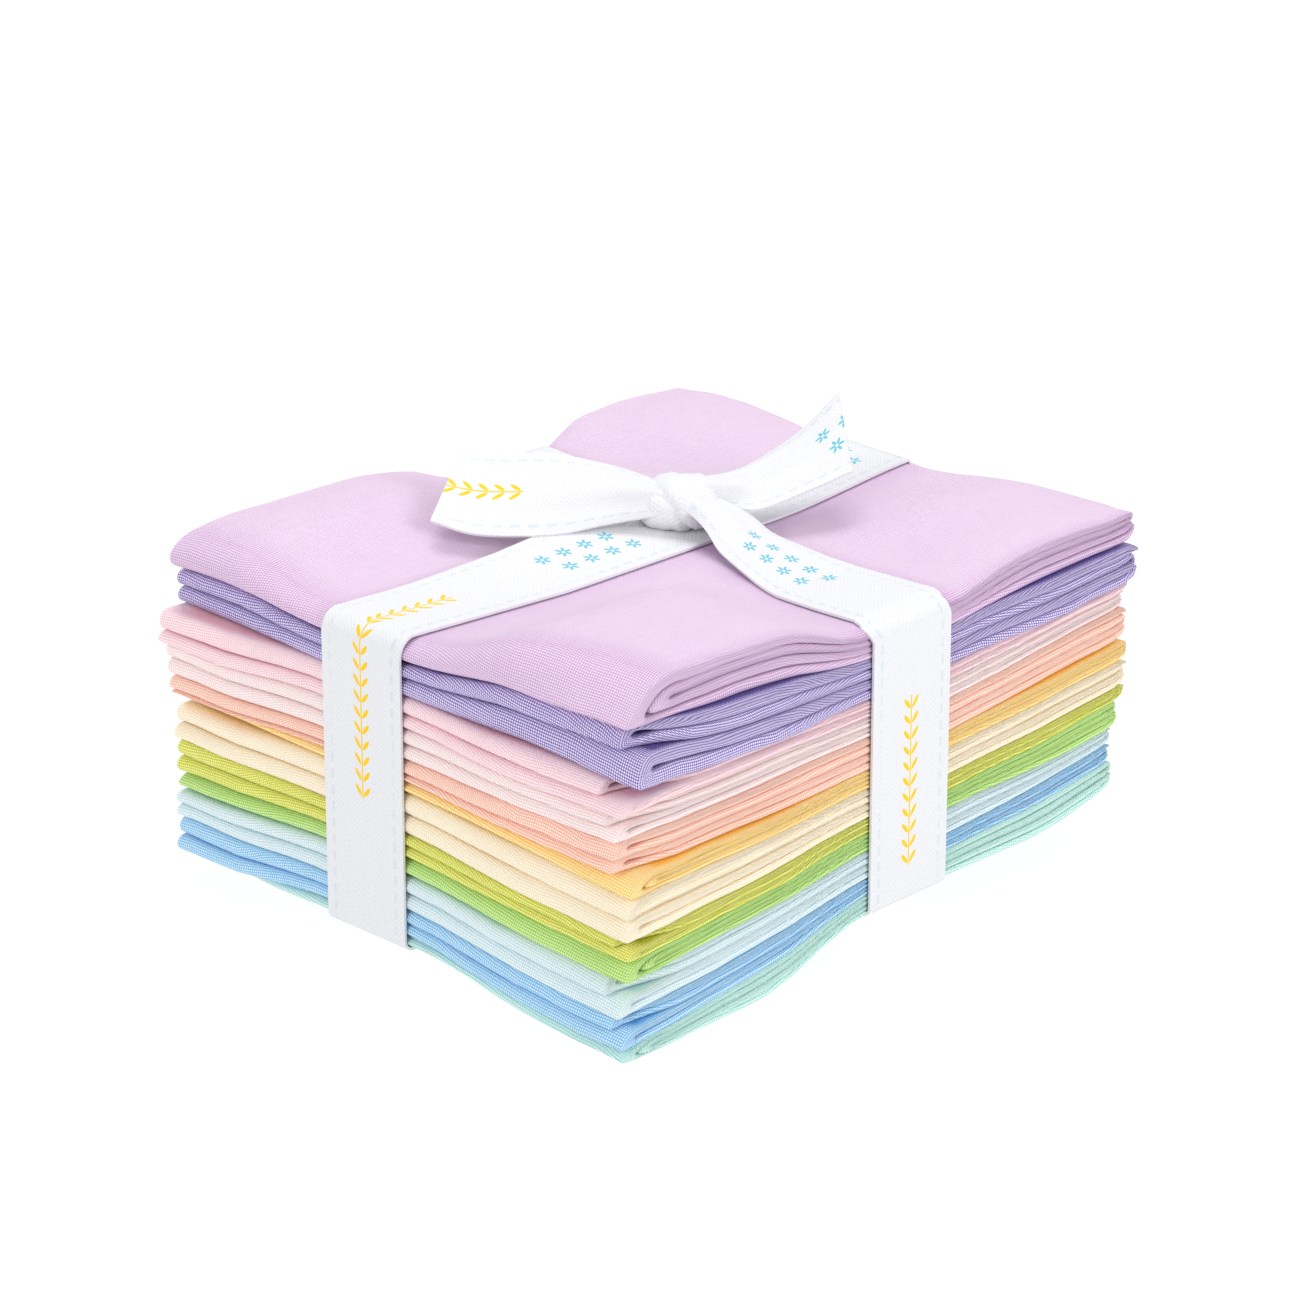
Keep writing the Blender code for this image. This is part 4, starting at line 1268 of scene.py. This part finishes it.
# The fold that runs slantwise over the wrap, and its pleats: height, waves and twist
FOLD_GROOVE = 0.85
FOLD_WIDTH = 0.8
FOLD_START = 2.6
FOLD_RUN = -8.6
FOLD_FROM = -50
FOLD_OVER = 150
FOLD_FADE = math.radians(60)
WRAP_PLEATS = ((0.20, 6.5, 1.4), (0.10, 17, -0.8))


def in_knot(along, across, up):
    """Points from their places along the knot's own three directions."""
    return KNOT_AXIS * along[..., None] + KNOT_ACROSS * across[..., None] + KNOT_UP * up[..., None]


def knot_body(share, least):
    """How full the knot's body is at a share of its half length."""
    return np.maximum((1 - np.abs(share) ** KNOT_SQUARE) ** 0.5, least)


def knot_core():
    """The full part of the knot: both tails' roots, rolled together, as a closed grid."""
    rows, columns = CORE_GRID
    along = np.linspace(-1, 1, rows)
    turn = np.linspace(0, 2 * math.pi, columns + 1)[:-1]
    s, angle = np.meshgrid(along, turn, indexing="ij")
    wave, wave_turns, wave_phase = CORE_WAVE
    twist, twist_turns, twist_along = CORE_TWIST
    radius = 1 + wave * np.sin(wave_turns * angle + wave_phase)
    radius = radius + twist * np.sin(twist_turns * angle + twist_along * s)
    for crease in CREASES:
        beside = (s - crease.place - crease.tilt * np.sin(angle - CREASE_ANGLE)) / crease.width
        radius = radius - crease.depth * np.exp(-beside ** 2)
    near_fuller = np.exp(-((s - FULLER_PLACE) / FULLER_REACH) ** 2)
    fuller = 1 + CORE_FULLER * near_fuller * np.clip(-np.cos(angle + FULLER_ANGLE), 0, 1)
    body = knot_body(s, CORE_END) * radius
    high = KNOT_HIGH * body * np.sin(angle)
    wide = KNOT_WIDE * body * fuller * np.cos(angle)
    return in_knot(CORE_HALF * s, wide, high), np.stack((angle * CORE_LENGTH_ROUND, s * CORE_HALF), axis=-1)


def wrap_points():
    """The wrapping band's middle surface, its edges rolled under, and its outward directions."""
    samples = smooth_through(WRAP, WRAP_ROWS)
    degrees, middle, width, lift = samples.T[:, :, None]
    turn = np.radians(degrees)
    roll = np.linspace(-1, 1, WRAP_ACROSS)[None, :] * WRAP_ROLL
    place = middle + np.sin(roll) * width / 2
    body = knot_body(np.clip(np.abs(place) / KNOT_HALF, 0, 1), WRAP_BODY_END)
    fold_place = FOLD_START + FOLD_RUN * (degrees - FOLD_FROM) / FOLD_OVER
    fold = np.exp(-((place - fold_place) / FOLD_WIDTH) ** 2) * smooth_fall(turn, FOLD_FADE, FOLD_FADE)
    lift = lift - FOLD_GROOVE * fold - WRAP_ROLL_DEPTH * (1 - np.cos(roll))
    for height, waves, twist in WRAP_PLEATS:
        lift = lift + height * np.cos(waves * np.sin(roll) + twist * turn) * np.maximum(0, np.cos(roll))
    near_far = (KNOT_WIDE * body + lift) * -np.cos(turn)
    up_down = (KNOT_HIGH * body + lift) * np.sin(turn)
    points = in_knot(place, near_far, up_down)
    normal = np.cross(np.gradient(points, axis=1), np.gradient(points, axis=0))
    normal = normal / np.linalg.norm(normal, axis=-1, keepdims=True)
    away = -KNOT_ACROSS * np.cos(turn[0]) + KNOT_UP * np.sin(turn[0])
    return points, normal * np.sign(normal[0, WRAP_ACROSS // 2] @ away)


def make_knot():
    """The knot: a rolled core, and the band that wraps it and runs into the near strap."""
    centre = np.array((*plan_point(SHORT_TAPE_U, LONG_TAPE_V), KNOT_CENTRE_HEIGHT))
    core, core_lengths = knot_core()
    rows, columns = CORE_GRID
    faces = []
    for start in range(0, (rows - 1) * columns, columns):
        for j in range(columns):
            k = (j + 1) % columns
            faces.append((start + j, start + k, start + columns + k, start + columns + j))
    faces.append(tuple(range(columns))[::-1])
    faces.append(tuple((rows - 1) * columns + j for j in range(columns)))
    mesh = bpy.data.meshes.new("tape_knot")
    corners = (core + centre).reshape(-1, 3) * MM + np.array(PLAN_MIDDLE)
    mesh.from_pydata([tuple(corner) for corner in corners], [], faces)
    mesh.polygons.foreach_set("use_smooth", np.ones(len(faces), bool))
    loop_vertices = np.zeros(len(mesh.loops), int)
    mesh.loops.foreach_get("vertex_index", loop_vertices)
    lengths = core_lengths.reshape(-1, 2)[loop_vertices] * MM
    mesh.uv_layers.new(name=LENGTHS_LAYER).data.foreach_set("uv", lengths.ravel())
    core_piece = bpy.data.objects.new("tape_knot", mesh)
    bpy.context.collection.objects.link(core_piece)

    middle, outward = wrap_points()
    along = path_lengths(middle[:, WRAP_ACROSS // 2])
    across = np.linspace(-0.5, 0.5, WRAP_ACROSS) * TAPE_WIDTH
    wrap_piece = tape_sheet("tape_knot_wrap", centre + middle, outward, along, across)
    for piece in (core_piece, wrap_piece):
        piece.data.materials.append(woven_tape(piece.name + "_weave"))
        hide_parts("knot")
        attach(piece, "root")


make_cloths()
make_band("long_tape_ribbon", "long_tape", *long_tape_points(), LONG_TAPE_PRINTS)
make_band("short_tape_ribbon", "short_tape", *short_tape_points(), SHORT_TAPE_PRINTS)
make_knot()
make_tail("left_tail", LEFT_TAIL, LEFT_TAIL_PHASE, LEFT_TAIL_PRINTS)
make_tail("right_tail", RIGHT_TAIL, RIGHT_TAIL_PHASE, RIGHT_TAIL_PRINTS)

# Soft square lights in metres and watts, and the white room round them
Softbox = namedtuple("Softbox", "name place size power")
SOFTBOXES = (
    Softbox("overhead_softbox", (0.16, 0.22, 0.72), 0.35, 2.15),
    Softbox("left_softbox", (-0.85, -0.05, 0.50), 0.5, 2.5),
    Softbox("right_softbox", (0.10, -0.95, 0.50), 0.5, 4.15),
)
SOFTBOX_AIM = Vector((0, 0, 0.035))
WHITE = (1, 1, 1, 1)
ROOM_STRENGTH = 0.62

# The floor in metres: it glows a little, and lies just under the stack
FLOOR_HALF = 4.0
FLOOR_HEIGHT = -0.0002
FLOOR_ROUGHNESS = 0.9
FLOOR_GREY = (0.12, 0.12, 0.12, 1)
FLOOR_GLOW = 0.91


def add_softbox(softbox):
    """A soft square light that faces the stack."""
    light = bpy.data.lights.new(softbox.name, "AREA")
    light.shape = "SQUARE"
    light.size = softbox.size
    light.energy = softbox.power
    holder = bpy.data.objects.new(softbox.name, light)
    bpy.context.collection.objects.link(holder)
    holder.location = softbox.place
    aim = SOFTBOX_AIM - Vector(softbox.place)
    holder.rotation_euler = aim.to_track_quat("-Z", "Y").to_euler()


def make_floor():
    corners = [(x * FLOOR_HALF, y * FLOOR_HALF, 0) for x, y in ((-1, -1), (1, -1), (1, 1), (-1, 1))]
    mesh = bpy.data.meshes.new("floor")
    mesh.from_pydata(corners, [], [(0, 1, 2, 3)])
    floor = bpy.data.objects.new("floor", mesh)
    bpy.context.collection.objects.link(floor)
    floor.location.z = FLOOR_HEIGHT
    material, nodes = new_material("floor_paper", FLOOR_ROUGHNESS, 0.0)
    nodes.shader.inputs["Base Color"].default_value = FLOOR_GREY
    nodes.shader.inputs["Emission Color"].default_value = WHITE
    nodes.shader.inputs["Emission Strength"].default_value = FLOOR_GLOW
    floor.data.materials.append(material)


for softbox in SOFTBOXES:
    add_softbox(softbox)
world = bpy.data.worlds.new("white_room")
world.use_nodes = True
world.node_tree.nodes["Background"].inputs["Color"].default_value = WHITE
world.node_tree.nodes["Background"].inputs["Strength"].default_value = ROOM_STRENGTH
bpy.context.scene.world = world
bpy.context.scene.view_settings.view_transform = "Standard"
make_floor()

# The camera at the photograph's angle, in metres and mm of lens
CAMERA_PLACE = Vector((-0.6265, -0.5989, 0.3955))
CAMERA_FORWARD = Vector((0.668, 0.640, -0.378))
CAMERA_LENS = 142.1
CAMERA_SENSOR = 36.0
CAMERA_NEAR = 0.01
camera_data = bpy.data.cameras.new("photo_camera")
camera_data.lens = CAMERA_LENS
camera_data.sensor_width = CAMERA_SENSOR
camera_data.sensor_fit = "HORIZONTAL"
camera_data.clip_start = CAMERA_NEAR
camera = bpy.data.objects.new("photo_camera", camera_data)
bpy.context.collection.objects.link(camera)
camera.location = CAMERA_PLACE
camera.rotation_euler = CAMERA_FORWARD.to_track_quat("-Z", "Y").to_euler()
bpy.context.scene.camera = camera
